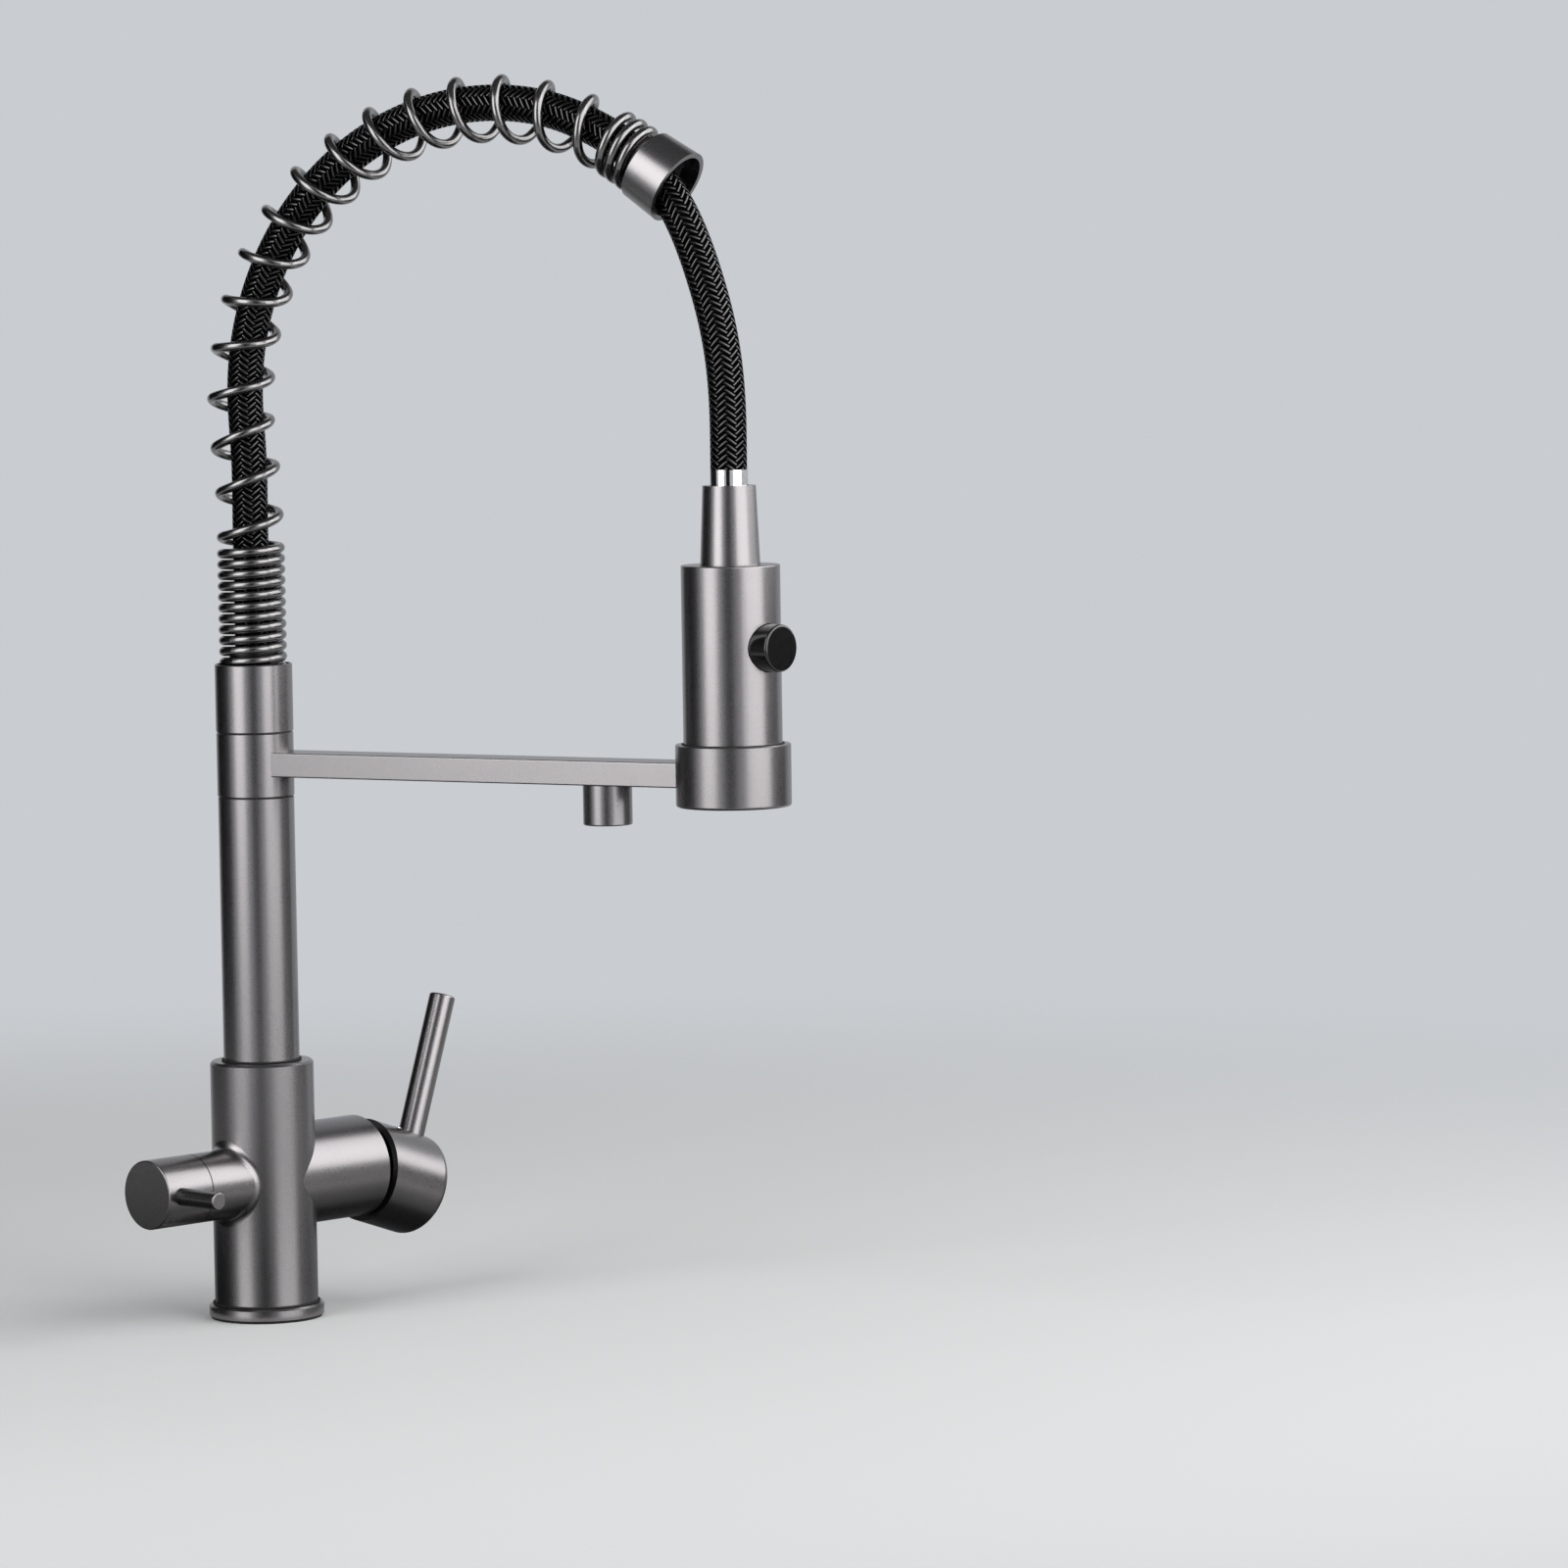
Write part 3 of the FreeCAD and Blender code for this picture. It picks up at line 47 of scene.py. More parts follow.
scene.view_settings.view_transform = "Standard"
print("kitchen filter tap: %d CAD nodes loaded" % len(nodes))


# An sRGB hex value as linear red, green, blue and alpha
def linear(hexColour):
    parts = [int(hexColour[i:i + 2], 16) / 255 for i in (1, 3, 5)]
    return [part / 12.92 if part <= 0.04045 else ((part + 0.055) / 1.055) ** 2.4
            for part in parts] + [1.0]


# Texture scale at which one feature is about this many millimetres
def perMillimetre(size):
    return 1000 / size


# A node with its settings, which are properties or values of its inputs, and its links. An
# input goes by its name or its place; 6 and 7 are the two colours of a colour mix.
def addNode(tree, kind, settings=None, links=None):
    made = tree.nodes.new(kind)
    for name, value in (settings or {}).items():
        if isinstance(name, str) and hasattr(made, name):
            setattr(made, name, value)
        else:
            made.inputs[name].default_value = value
    for name, source in (links or {}).items():
        tree.links.new(source, made.inputs[name])
    return made


# A material with nothing in its tree yet
def emptyMaterial(name):
    made = bpy.data.materials.new(name)
    made.use_nodes = True
    made.node_tree.nodes.clear()
    return made, made.node_tree


# A finished bmesh as an object in the scene
def addPiece(name, bm, finish):
    mesh = bpy.data.meshes.new(name)
    bm.to_mesh(mesh)
    bm.free()
    mesh.materials.append(finish)
    made = bpy.data.objects.new(name, mesh)
    scene.collection.objects.link(made)
    return made


# Camera: the photograph's angle, a long lens from the front right, as high as the arch and
# looking a little down. Place in metres, angles in degrees, lens and sensor in millimetres.
cameraSettings = {
    "place": (1.5689, -2.5415, 0.4714), "turn": 27.2851, "tip": -4.643, "roll": -0.8598,
    "lens": 157.973, "sensor": 36, "farthest": 40,
}
cameraData = bpy.data.cameras.new("photoCamera")
cameraData.lens = cameraSettings["lens"]
cameraData.sensor_width = cameraSettings["sensor"]
cameraData.clip_end = cameraSettings["farthest"]
camera = bpy.data.objects.new("photoCamera", cameraData)
scene.collection.objects.link(camera)
camera.matrix_world = (Matrix.Translation(cameraSettings["place"])
                       @ Matrix.Rotation(math.radians(cameraSettings["turn"]), 4, "Z")
                       @ Matrix.Rotation(math.radians(90 + cameraSettings["tip"]), 4, "X")
                       @ Matrix.Rotation(math.radians(cameraSettings["roll"]), 4, "Z"))
scene.camera = camera
print("camera set")


# Studio: softboxes aimed at the tap's middle. Bearings are in degrees from the camera's side,
# which lies at its own bearing from the x axis; rises are in degrees above the tap's middle;
# distances and sizes are in metres.
studioSettings = {"middle": (0.1, 0, 0.25), "cameraSide": -60}
lampSettings = {
    "leftSoftbox": {"bearing": -48, "rise": 22, "distance": 1.8, "size": (1.1, 1.9), "watts": 25},
    "rightSoftbox": {"bearing": 51, "rise": 22, "distance": 1.8, "size": (1.75, 1.9), "watts": 34},
    "sideSoftbox": {"bearing": 98, "rise": 27, "distance": 1.6, "size": (1.2, 1.3), "watts": 14},
}
studioMiddle = Vector(studioSettings["middle"])


# The direction out from the tap's middle at this bearing and rise
def towards(bearing, rise):
    angle, lift = math.radians(studioSettings["cameraSide"] + bearing), math.radians(rise)
    return Vector((math.cos(angle) * math.cos(lift), math.sin(angle) * math.cos(lift),
                   math.sin(lift)))


for name, lamp in lampSettings.items():
    out = towards(lamp["bearing"], lamp["rise"])
    lampData = bpy.data.lights.new(name, "AREA")
    lampData.shape = "RECTANGLE"
    lampData.size, lampData.size_y = lamp["size"]
    lampData.energy = lamp["watts"]
    lampObject = bpy.data.objects.new(name, lampData)
    scene.collection.objects.link(lampObject)
    lampObject.location = studioMiddle + out * lamp["distance"]
    lampObject.rotation_euler = out.to_track_quat("Z", "Y").to_euler()

# World: the camera and reflections see the background, and the fill lights the shadows
worldSettings = {"background": "#c9ccd0", "fill": "#9a9a9c"}
world = bpy.data.worlds.new("studio")
scene.world = world
world.use_nodes = True
tree = world.node_tree
tree.nodes.clear()
rays = addNode(tree, "ShaderNodeLightPath")
seen = addNode(tree, "ShaderNodeMath", {"operation": "MAXIMUM"},
               {0: rays.outputs["Is Camera Ray"], 1: rays.outputs["Is Glossy Ray"]})
shown = addNode(tree, "ShaderNodeMath", {"operation": "MAXIMUM"},
                {0: seen.outputs[0], 1: rays.outputs["Is Transmission Ray"]})
fill = addNode(tree, "ShaderNodeBackground", {"Color": linear(worldSettings["fill"])})
pale = addNode(tree, "ShaderNodeBackground", {"Color": linear(worldSettings["background"])})
blended = addNode(tree, "ShaderNodeMixShader", None,
                  {0: shown.outputs[0], 1: fill.outputs[0], 2: pale.outputs[0]})
addNode(tree, "ShaderNodeOutputWorld", None, {"Surface": blended.outputs[0]})


# A flat ring that faces up
def flatRing(inner, outer, segments):
    bm = bmesh.new()
    for radius in (inner, outer):
        bmesh.ops.create_circle(bm, segments=segments, radius=radius)
    bmesh.ops.bridge_loops(bm, edges=list(bm.edges))
    bmesh.ops.recalc_face_normals(bm, faces=list(bm.faces))
    if bm.faces[:][0].normal.z < 0:
        bmesh.ops.reverse_faces(bm, faces=list(bm.faces))
    return bm


# Pale laminate worktop with the tap hole: matt, with a fine speckle in its surface. It turns
# clear between the two fade distances, so that it passes into the background with no edge.
# In metres, speckle and relief in mm.
floorSettings = {
    "hole": 0.0172, "radius": 2.2, "segments": 96, "fadeFrom": 0.3, "fadeTo": 1.3,
    "colour": "#c8c9c9", "speckle": 3, "relief": 0.2,
}
laminate, tree = emptyMaterial("matt white worktop laminate")
spot = addNode(tree, "ShaderNodeTexCoord")
away = addNode(tree, "ShaderNodeVectorMath", {"operation": "LENGTH"}, {0: spot.outputs["Object"]})
fade = addNode(tree, "ShaderNodeMapRange", {
    "interpolation_type": "SMOOTHSTEP", "From Min": floorSettings["fadeFrom"],
    "From Max": floorSettings["fadeTo"]}, {"Value": away.outputs["Value"]})
speckle = addNode(tree, "ShaderNodeTexNoise",
                  {"Scale": perMillimetre(floorSettings["speckle"]), "Detail": 2},
                  {"Vector": spot.outputs["Object"]})
ripple = addNode(tree, "ShaderNodeBump",
                 {"Strength": 0.05, "Distance": floorSettings["relief"] / 1000},
                 {"Height": speckle.outputs[0]})
matt = addNode(tree, "ShaderNodeBsdfDiffuse", {"Color": linear(floorSettings["colour"])},
               {"Normal": ripple.outputs[0]})
clear = addNode(tree, "ShaderNodeBsdfTransparent")
surface = addNode(tree, "ShaderNodeMixShader", None,
                  {0: fade.outputs[0], 1: matt.outputs[0], 2: clear.outputs[0]})
addNode(tree, "ShaderNodeOutputMaterial", None, {"Surface": surface.outputs[0]})
worktop = flatRing(floorSettings["hole"], floorSettings["radius"], floorSettings["segments"])
floor = addPiece("worktop", worktop, laminate)

# Flags of studio cloth, black ones round the tap and a grey one overhead. Only the metal sees
# them: they draw the dark bands along it. The cloth's nap is in mm.
flagSettings = {
    "middleFlag": {"bearing": -4, "rise": 10, "distance": 1.5, "size": (0.6, 2.2)},
    "leftFlag": {"bearing": -112, "rise": 10, "distance": 1.5, "size": (1.9, 2.2)},
    "rightFlag": {"bearing": 100, "rise": -9, "distance": 1.4, "size": (1.1, 0.5)},
    "ceilingFlag": {"bearing": 180, "rise": 84, "distance": 1.9, "size": (3.0, 3.0)},
}
clothSettings = {"nap": 4, "black": ("#121212", "#1c1c1c"), "grey": ("#606062", "#6a6a6c")}


# Studio cloth with a short nap, between two close shades
def clothOf(name, shades):
    cloth, tree = emptyMaterial(name)
    spot = addNode(tree, "ShaderNodeTexCoord")
    nap = addNode(tree, "ShaderNodeTexNoise",
                  {"Scale": perMillimetre(clothSettings["nap"]), "Detail": 2},
                  {"Vector": spot.outputs["Object"]})
    shade = addNode(tree, "ShaderNodeMix", {"data_type": "RGBA", 6: linear(shades[0]),
                                            7: linear(shades[1])}, {0: nap.outputs[0]})
    matt = addNode(tree, "ShaderNodeBsdfDiffuse", None, {0: shade.outputs[2]})
    addNode(tree, "ShaderNodeOutputMaterial", None, {"Surface": matt.outputs[0]})
    return cloth


blackCloth = clothOf("black duvetyn cloth", clothSettings["black"])
greyCloth = clothOf("grey duvetyn cloth", clothSettings["grey"])


# A stage object that the camera and the soft light pass by, and only reflections show
def reflectedOnly(name, bm, finish):
    card = addPiece(name, bm, finish)
    card.visible_camera = card.visible_diffuse = card.visible_shadow = False
    card.visible_transmission = False


for name, flag in flagSettings.items():
    out = towards(flag["bearing"], flag["rise"])
    bm = bmesh.new()
    bmesh.ops.create_grid(bm, x_segments=1, y_segments=1, size=0.5)    # 1 m across
    bmesh.ops.scale(bm, verts=bm.verts, vec=(*flag["size"], 1))
    bmesh.ops.rotate(bm, verts=bm.verts, cent=(0, 0, 0),
                     matrix=out.to_track_quat("Z", "Y").to_matrix())
    bmesh.ops.translate(bm, verts=bm.verts, vec=studioMiddle + out * flag["distance"])
    reflectedOnly(name, bm, greyCloth if name == "ceilingFlag" else blackCloth)

# Polished black acrylic round the tap's foot, as dark and shiny as a stone deck, with a faint
# haze: the lower sides of the metal turn dark in it, and it mirrors the softboxes up into the
# body's foot. In metres, the haze's clouds in mm.
sheetSettings = {
    "inner": 0.03, "outer": 0.42, "segments": 64, "lift": 0.002,
    "colour": "#2a2b2c", "haze": 30, "roughness": (0.08, 0.2),
}
acrylic, tree = emptyMaterial("polished black acrylic")
spot = addNode(tree, "ShaderNodeTexCoord")
haze = addNode(tree, "ShaderNodeTexNoise",
               {"Scale": perMillimetre(sheetSettings["haze"]), "Detail": 3},
               {"Vector": spot.outputs["Object"]})
dull = addNode(tree, "ShaderNodeMapRange", {
    "To Min": sheetSettings["roughness"][0], "To Max": sheetSettings["roughness"][1]},
    {"Value": haze.outputs[0]})
polish = addNode(tree, "ShaderNodeBsdfPrincipled",
                 {"Base Color": linear(sheetSettings["colour"])}, {"Roughness": dull.outputs[0]})
addNode(tree, "ShaderNodeOutputMaterial", None, {"Surface": polish.outputs[0]})
bm = flatRing(sheetSettings["inner"], sheetSettings["outer"], sheetSettings["segments"])
bmesh.ops.translate(bm, verts=bm.verts, vec=(0, 0, sheetSettings["lift"]))
reflectedOnly("acrylicSheet", bm, acrylic)
print("studio, worktop and flags set")


# A principled material with its output, its tree and its shader
def newMaterial(name, settings=None):
    made, tree = emptyMaterial(name)
    shader = addNode(tree, "ShaderNodeBsdfPrincipled", settings)
    addNode(tree, "ShaderNodeOutputMaterial", None, {"Surface": shader.outputs[0]})
    return made, tree, shader


# Roughness follows the grain and soft clouds so many times its size, each by its share, and
# runs from its low to its high value over this spread of the two
grainSettings = {"cloudSize": 25, "cloudShare": 0.2, "grainShare": 0.8, "spread": (0.3, 0.7)}


# A finish whose colour, roughness and bump follow one fine grain, its size and depth in mm.
# A stretch under 1 draws the grain out along that axis.
def grained(name, settings, colours, roughness, grain, depth, stretch=(1, 1, 1)):
    made, tree, shader = newMaterial(name, settings)
    spot = addNode(tree, "ShaderNodeTexCoord")
    drawn = addNode(tree, "ShaderNodeMapping", {"Scale": stretch},
                    {"Vector": spot.outputs["Object"]})
    fine = addNode(tree, "ShaderNodeTexNoise", {"Scale": perMillimetre(grain), "Detail": 2},
                   {"Vector": drawn.outputs[0]})
    broad = addNode(tree, "ShaderNodeTexNoise",
                    {"Scale": perMillimetre(grain * grainSettings["cloudSize"]), "Detail": 3},
                    {"Vector": drawn.outputs[0]})
    tone = addNode(tree, "ShaderNodeMix", {"data_type": "RGBA", 6: linear(colours[0]),
                                           7: linear(colours[1])}, {0: fine.outputs[0]})
    cloud = addNode(tree, "ShaderNodeMath", {
        "operation": "MULTIPLY", 1: grainSettings["cloudShare"]}, {0: broad.outputs[0]})
    both = addNode(tree, "ShaderNodeMath", {
        "operation": "MULTIPLY_ADD", 1: grainSettings["grainShare"]},
        {0: fine.outputs[0], 2: cloud.outputs[0]})
    rough = addNode(tree, "ShaderNodeMapRange", {
        "From Min": grainSettings["spread"][0], "From Max": grainSettings["spread"][1],
        "To Min": roughness[0], "To Max": roughness[1]}, {"Value": both.outputs[0]})
    bump = addNode(tree, "ShaderNodeBump", {"Strength": 1.0, "Distance": depth / 1000},
                   {"Height": fine.outputs[0]})
    tree.links.new(tone.outputs[2], shader.inputs["Base Color"])
    tree.links.new(rough.outputs[0], shader.inputs["Roughness"])
    tree.links.new(bump.outputs[0], shader.inputs["Normal"])
    return made


# Brass, bead-blasted and coated gun-metal grey by vapour deposition: satin, with a fine
# sparkling grain. The real grain of 0.1 mm is drawn at 0.5 mm so that it shows.
gunmetal = grained("gunmetal PVD on bead-blasted brass", {"Metallic": 1.0},
                   ("#7a7778", "#8a8788"), (0.26, 0.33), 0.5, 0.009)
# Hard-drawn steel wire with the same coating: smoother, shinier and a little darker
wire = grained("gunmetal PVD on drawn spring wire", {"Metallic": 1.0},
               ("#6f6d6d", "#7f7d7d"), (0.2, 0.27), 0.5, 0.004)
# Machined brass: warm yellow, turned lines run round it
brass = grained("machined brass", {"Metallic": 1.0},
                ("#b99a5b", "#cfb06c"), (0.22, 0.36), 0.4, 0.006, (0.15, 0.15, 1))
# Moulded EPDM rubber: matt black with a faint bloom
rubber = grained("moulded EPDM rubber", {"Specular IOR Level": 0.3},
                 ("#161616", "#1e1e1f"), (0.65, 0.85), 0.8, 0.02)
# Zinc-plated pressed steel: bluish silver with soft cloudy patches
zinc = grained("zinc-plated pressed steel", {"Metallic": 1.0},
               ("#a9adb2", "#bfc2c6"), (0.25, 0.45), 1.5, 0.004)
# Polished stainless steel: bright, nearly a mirror, with faint lines round it
steel = grained("polished stainless steel", {"Metallic": 1.0},
                ("#d0d0d1", "#dcdcdc"), (0.08, 0.16), 0.5, 0.002, (0.2, 0.2, 1))
# Injection-moulded acetal: satin black
acetal = grained("moulded black acetal", {"Specular IOR Level": 0.5},
                 ("#131314", "#1b1b1c"), (0.4, 0.55), 0.6, 0.008)
# Gloss black ABS of the push button, with a faint ripple from the mould
glossy = grained("gloss black ABS", {"Coat Weight": 0.3, "Coat Roughness": 0.08},
                 ("#0b0b0c", "#0f0f10"), (0.15, 0.18), 2.5, 0.001)
# Grey acetal of the spray plate, the aerators and the parts inside, satin from the mould
grey = grained("moulded grey acetal", {"Specular IOR Level": 0.5},
               ("#6f7174", "#7b7d80"), (0.4, 0.5), 0.6, 0.008)

finishes = [
    (gunmetal, "base_flange body_casting column_tube top_collar lever_cap lever_rod filter_knob"
               " filter_pin arm_collar arm_bar filter_nozzle dock_ring spring_cap neck_sleeve"
               " head_shell"),
    (wire, "spring"),
    (brass, "mounting_shank inlet_core clamp_nut pillar nozzle_block hose_fitting hose_nut"
            " filter_valve cartridge_nut cartridge_rotor cartridge_stem"),
    (rubber, "base_gasket clamp_rubber arm_seal_low arm_seal_high fitting_seal head_seal"),
    (zinc, "clamp_washer"),
    (steel, "pivot_pin filter_spindle hose_ferrule lever_screw button_spring"),
    (acetal, "swivel_washer_low swivel_washer_high dome_ring dock_liner spring_seat button_stem"),
    (glossy, "spray_button"),
    (grey, "mixer_cartridge arm_tube filter_aerator diverter_block spray_plate centre_aerator"),
]
for finish, names in finishes:
    for name in names.split():
        nodes[name].data.materials.clear()
        nodes[name].data.materials.append(finish)


# Woven black nylon sleeve of the hose. Strand pairs cross over and under two at a time, so
# slanting ribs lean left and right in turn and the glossy yarn glints at the crowns. Each
# strand's colour runs from the darker strand shade at its edges, where it dips between its
# neighbours, to the lighter crown shade on top: painted shade in the hollows of the weave.
# Lay and depth are in mm. A strand lies over the others for just under half of each repeat,
# and it shines and glints from these shares of its height up.
braidSettings = {
    "carriers": 12, "lay": 34.0, "repeat": 4, "over": 0.49, "depth": 0.7,
    "strand": "#020203", "crown": "#0a0a0b",
    "shineFrom": 0.5, "roughness": (0.7, 0.2), "glintFrom": 0.8, "glint": 0.85,
}
braid, tree, shader = newMaterial("braided black nylon yarn")
wrap = addNode(tree, "ShaderNodeUVMap", {"uv_map": "hoseLay"})
parts = addNode(tree, "ShaderNodeSeparateXYZ", None, {0: wrap.outputs[0]})
around = addNode(tree, "ShaderNodeMath", {"operation": "MULTIPLY", 1: braidSettings["carriers"]},
                 {0: parts.outputs[0]})
along = addNode(tree, "ShaderNodeMath", {
    "operation": "MULTIPLY", 1: 1000 * braidSettings["carriers"] / braidSettings["lay"]},
    {0: parts.outputs[1]})
# The strands that lean each way: the strand's number, and its height across
families = []
for operation in ("ADD", "SUBTRACT"):
    lean = addNode(tree, "ShaderNodeMath", {"operation": operation},
                   {0: around.outputs[0], 1: along.outputs[0]})
    across = addNode(tree, "ShaderNodeMath", {"operation": "FRACT"}, {0: lean.outputs[0]})
    count = addNode(tree, "ShaderNodeMath", {"operation": "FLOOR"}, {0: lean.outputs[0]})
    half = addNode(tree, "ShaderNodeMath", {"operation": "MULTIPLY", 1: math.pi},
                   {0: across.outputs[0]})
    crown = addNode(tree, "ShaderNodeMath", {"operation": "SINE"}, {0: half.outputs[0]})
    families.append((count, crown))
total = addNode(tree, "ShaderNodeMath", {"operation": "ADD"},
                {0: families[0][0].outputs[0], 1: families[1][0].outputs[0]})
repeats = addNode(tree, "ShaderNodeMath", {
    "operation": "MULTIPLY", 1: 1 / braidSettings["repeat"]}, {0: total.outputs[0]})
turn = addNode(tree, "ShaderNodeMath", {"operation": "FRACT"}, {0: repeats.outputs[0]})
over = addNode(tree, "ShaderNodeMath", {"operation": "LESS_THAN", 1: braidSettings["over"]},
               {0: turn.outputs[0]})
height = addNode(tree, "ShaderNodeMix", {"data_type": "FLOAT"}, {
    0: over.outputs[0], 2: families[1][1].outputs[0], 3: families[0][1].outputs[0]})
# Painted shade: the yarn darkens from its crown towards its edges, where it dips under its
# neighbours
tone = addNode(tree, "ShaderNodeMix", {
    "data_type": "RGBA", 6: linear(braidSettings["strand"]), 7: linear(braidSettings["crown"])},
    {0: height.outputs[0]})
shine = addNode(tree, "ShaderNodeMapRange", {
    "From Min": braidSettings["shineFrom"], "To Min": braidSettings["roughness"][0],
    "To Max": braidSettings["roughness"][1]}, {"Value": height.outputs[0]})
glint = addNode(tree, "ShaderNodeMapRange", {
    "From Min": braidSettings["glintFrom"], "To Max": braidSettings["glint"]},
    {"Value": height.outputs[0]})
weave = addNode(tree, "ShaderNodeBump",
                {"Strength": 1.0, "Distance": braidSettings["depth"] / 1000},
                {"Height": height.outputs[0]})
tree.links.new(tone.outputs[2], shader.inputs["Base Color"])
tree.links.new(shine.outputs[0], shader.inputs["Roughness"])
tree.links.new(glint.outputs[0], shader.inputs["Specular IOR Level"])
tree.links.new(weave.outputs[0], shader.inputs["Normal"])
print("materials made")


# Hose: a smooth line led by these points, x and z in mm, from the fitting in the column over
# the arch to the ferrule in the neck. Its two pieces meet at hiddenJoin, in mm along the line,
# out of sight in the spring cap.
hoseSettings = {
    "points": [
        (0.0, 266.0), (0.0, 275.1), (-0.1, 293.3), (0.1, 320.6), (-0.2, 347.9), (0.5, 375.2),
        (-2.3, 402.4), (1.1, 429.7), (10.4, 455.5), (25.1, 478.7), (44.5, 498.2), (67.6, 512.9),
        (93.5, 522.3), (120.5, 525.7), (148.3, 523.4), (173.6, 514.1), (197.6, 499.4),
        (214.1, 477.8), (224.2, 451.9), (231.7, 425.9), (234.6, 398.5), (234.1, 371.4),
        (234.4, 353.1), (234.3, 344.0)],
    "order": 4, "steps": 16, "radius": 7.7, "wall": 2.7, "sides": 48, "hiddenJoin": 406.0,
}
curve = bpy.data.curves.new("hoseLine", "CURVE")
curve.dimensions = "3D"
spline = curve.splines.new("NURBS")
spline.points.add(len(hoseSettings["points"]) - 1)
for point, (x, z) in zip(spline.points, hoseSettings["points"]):
    point.co = (x / 1000, 0, z / 1000, 1)
spline.order_u = hoseSettings["order"]
spline.use_endpoint_u = True
spline.resolution_u = hoseSettings["steps"]
lineObject = bpy.data.objects.new("hoseLine", curve)
scene.collection.objects.link(lineObject)
bpy.context.view_layer.update()
lineMesh = bpy.data.meshes.new_from_object(lineObject.evaluated_get(
    bpy.context.evaluated_depsgraph_get()))
hoseLine = [vertex.co.copy() for vertex in lineMesh.vertices]
bpy.data.objects.remove(lineObject)
bpy.data.meshes.remove(lineMesh)
distances = [0.0]
for before, after in zip(hoseLine, hoseLine[1:]):
    distances.append(distances[-1] + (after - before).length)
join = next(i for i, gone in enumerate(distances) if gone > hoseSettings["hiddenJoin"] / 1000)
print("hose line %.1f mm, %d points" % (distances[-1] * 1000, len(hoseLine)))


# Turn about Y that points a ring's axis along the hose's line
def heading(i):
    ahead = hoseLine[min(i + 1, len(hoseLine) - 1)] - hoseLine[max(i - 1, 0)]
    return math.atan2(ahead.x, ahead.z)


# The sleeve between two points of the line, with its unrolled surface as a UV map
def sweepHose(name, first, last):
    sides = hoseSettings["sides"]
    bm = bmesh.new()
    column = bm.verts.layers.int.new("column")
    row = bm.verts.layers.int.new("row")
    ring = bmesh.ops.create_circle(bm, segments=sides,
                                   radius=hoseSettings["radius"] / 1000)["verts"]
    for i, vertex in enumerate(ring):
        vertex[column] = i
        vertex[row] = first
    edges = list(bm.edges)
    bmesh.ops.rotate(bm, verts=ring, cent=(0, 0, 0),
                     matrix=Matrix.Rotation(heading(first), 3, "Y"))
    bmesh.ops.translate(bm, verts=ring, vec=hoseLine[first])
    for i in range(first + 1, last + 1):
        made = bmesh.ops.extrude_edge_only(bm, edges=edges)["geom"]
        ring = [item for item in made if isinstance(item, bmesh.types.BMVert)]
        edges = [item for item in made if isinstance(item, bmesh.types.BMEdge)]
        for vertex in ring:
            vertex[row] = i
        turn = Matrix.Rotation(heading(i) - heading(i - 1), 3, "Y")
        bmesh.ops.rotate(bm, verts=ring, cent=hoseLine[i - 1], matrix=turn)
        bmesh.ops.translate(bm, verts=ring, vec=hoseLine[i] - hoseLine[i - 1])
    bm.normal_update()
    if bm.faces[:][0].normal.dot(bm.faces[:][0].calc_center_median() - hoseLine[first]) < 0:
        bmesh.ops.reverse_faces(bm, faces=list(bm.faces))
    lay = bm.loops.layers.uv.new("hoseLay")
    for face in bm.faces:
        face.smooth = True
        columns = [loop.vert[column] for loop in face.loops]
        for loop in face.loops:
            place = loop.vert[column]
            if place == 0 and max(columns) == sides - 1:    # the face that closes the ring
                place = sides
            loop[lay].uv = (place / sides, distances[loop.vert[row]])
    piece = addPiece(name, bm, braid)
    wall = piece.modifiers.new("wall", "SOLIDIFY")
    wall.thickness = hoseSettings["wall"] / 1000
    wall.offset = -1    # inwards
    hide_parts("spray_hose")
    return piece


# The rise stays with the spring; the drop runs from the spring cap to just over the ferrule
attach(sweepHose("braided_hose_rise", 0, join), "spring_arch")
hoseDrop = sweepHose("braided_hose_drop", join, len(hoseLine) - 1)
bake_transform(hoseDrop)
print("hose made")

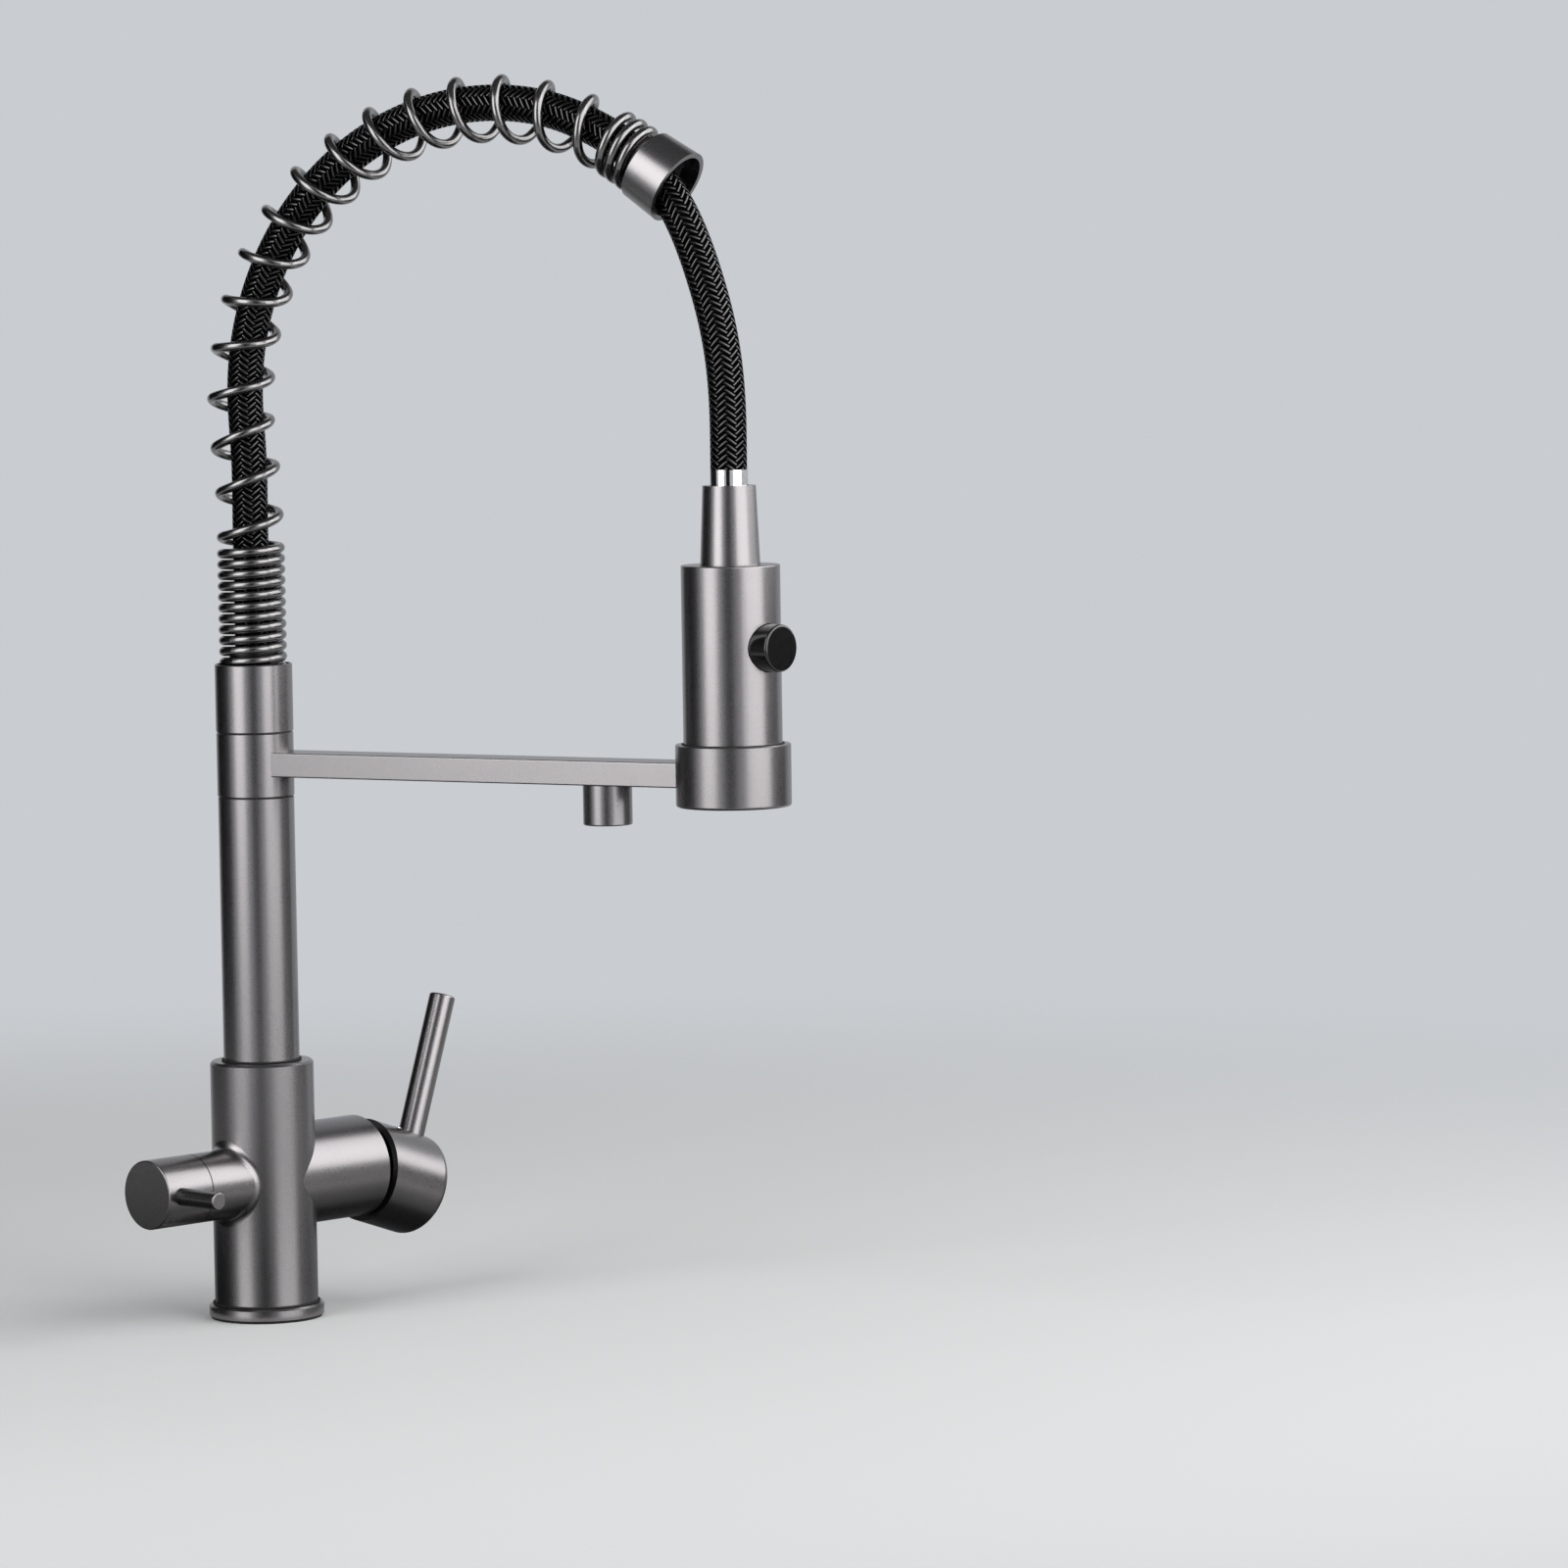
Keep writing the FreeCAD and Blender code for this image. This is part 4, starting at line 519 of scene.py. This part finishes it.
# Button spring: a copy of the solid's own coil, which lies along the button's axis between the
# diverter block and the button's stem
mesh = nodes["button_spring"].data.copy()
mesh.transform(nodes["button_spring"].matrix_world)
coil = bpy.data.objects.new("button_coil", mesh)
scene.collection.objects.link(coil)
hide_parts("button_spring")
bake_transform(coil)

# Thin black rubber rings that stand in for the shade in the narrow gaps where the metal parts
# meet: painted shade, which shows as thin dark lines at the joints. In mm: section is the
# ring's own radius and gap its clearance round the part, whose radius comes first; rise is the
# height that it lies on, and along is the part's axis along the arm.
shadeRingSettings = {
    "section": 0.45, "gap": 0.05, "sides": 12, "steps": 128,
    "rings": {
        "body_foot_shade_ring": {"radius": 22.5, "rise": 6.2, "along": 0, "carrier": "tap_body"},
        "column_foot_shade_ring": {"radius": 16.5, "rise": 112.5, "along": 0, "carrier": "tap_body"},
        "dock_mouth_shade_ring": {"radius": 20.8, "rise": 255.0, "along": 234.3, "carrier": "arm"},
    },
}
section = shadeRingSettings["section"]
# Each ring is painted shade for the gap at one joint, made as black rubber
for name, shadeRing in shadeRingSettings["rings"].items():
    bm = bmesh.new()
    cut = bmesh.ops.create_circle(bm, segments=shadeRingSettings["sides"],
                                  radius=section / 1000)["verts"]
    bmesh.ops.rotate(bm, verts=cut, cent=(0, 0, 0), matrix=Matrix.Rotation(math.pi / 2, 3, "X"))
    bmesh.ops.translate(bm, verts=cut, vec=(
        (shadeRing["radius"] + section + shadeRingSettings["gap"]) / 1000, 0,
        (shadeRing["rise"] + section) / 1000))
    bmesh.ops.spin(bm, geom=bm.verts[:] + bm.edges[:], cent=(0, 0, 0), axis=(0, 0, 1),
                   angle=2 * math.pi, steps=shadeRingSettings["steps"], use_merge=True)
    bmesh.ops.translate(bm, verts=bm.verts, vec=(shadeRing["along"] / 1000, 0, 0))
    bmesh.ops.recalc_face_normals(bm, faces=bm.faces)
    for face in bm.faces:
        face.smooth = True
    piece = addPiece(name, bm, rubber)
    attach(piece, shadeRing["carrier"])
print("seals made")
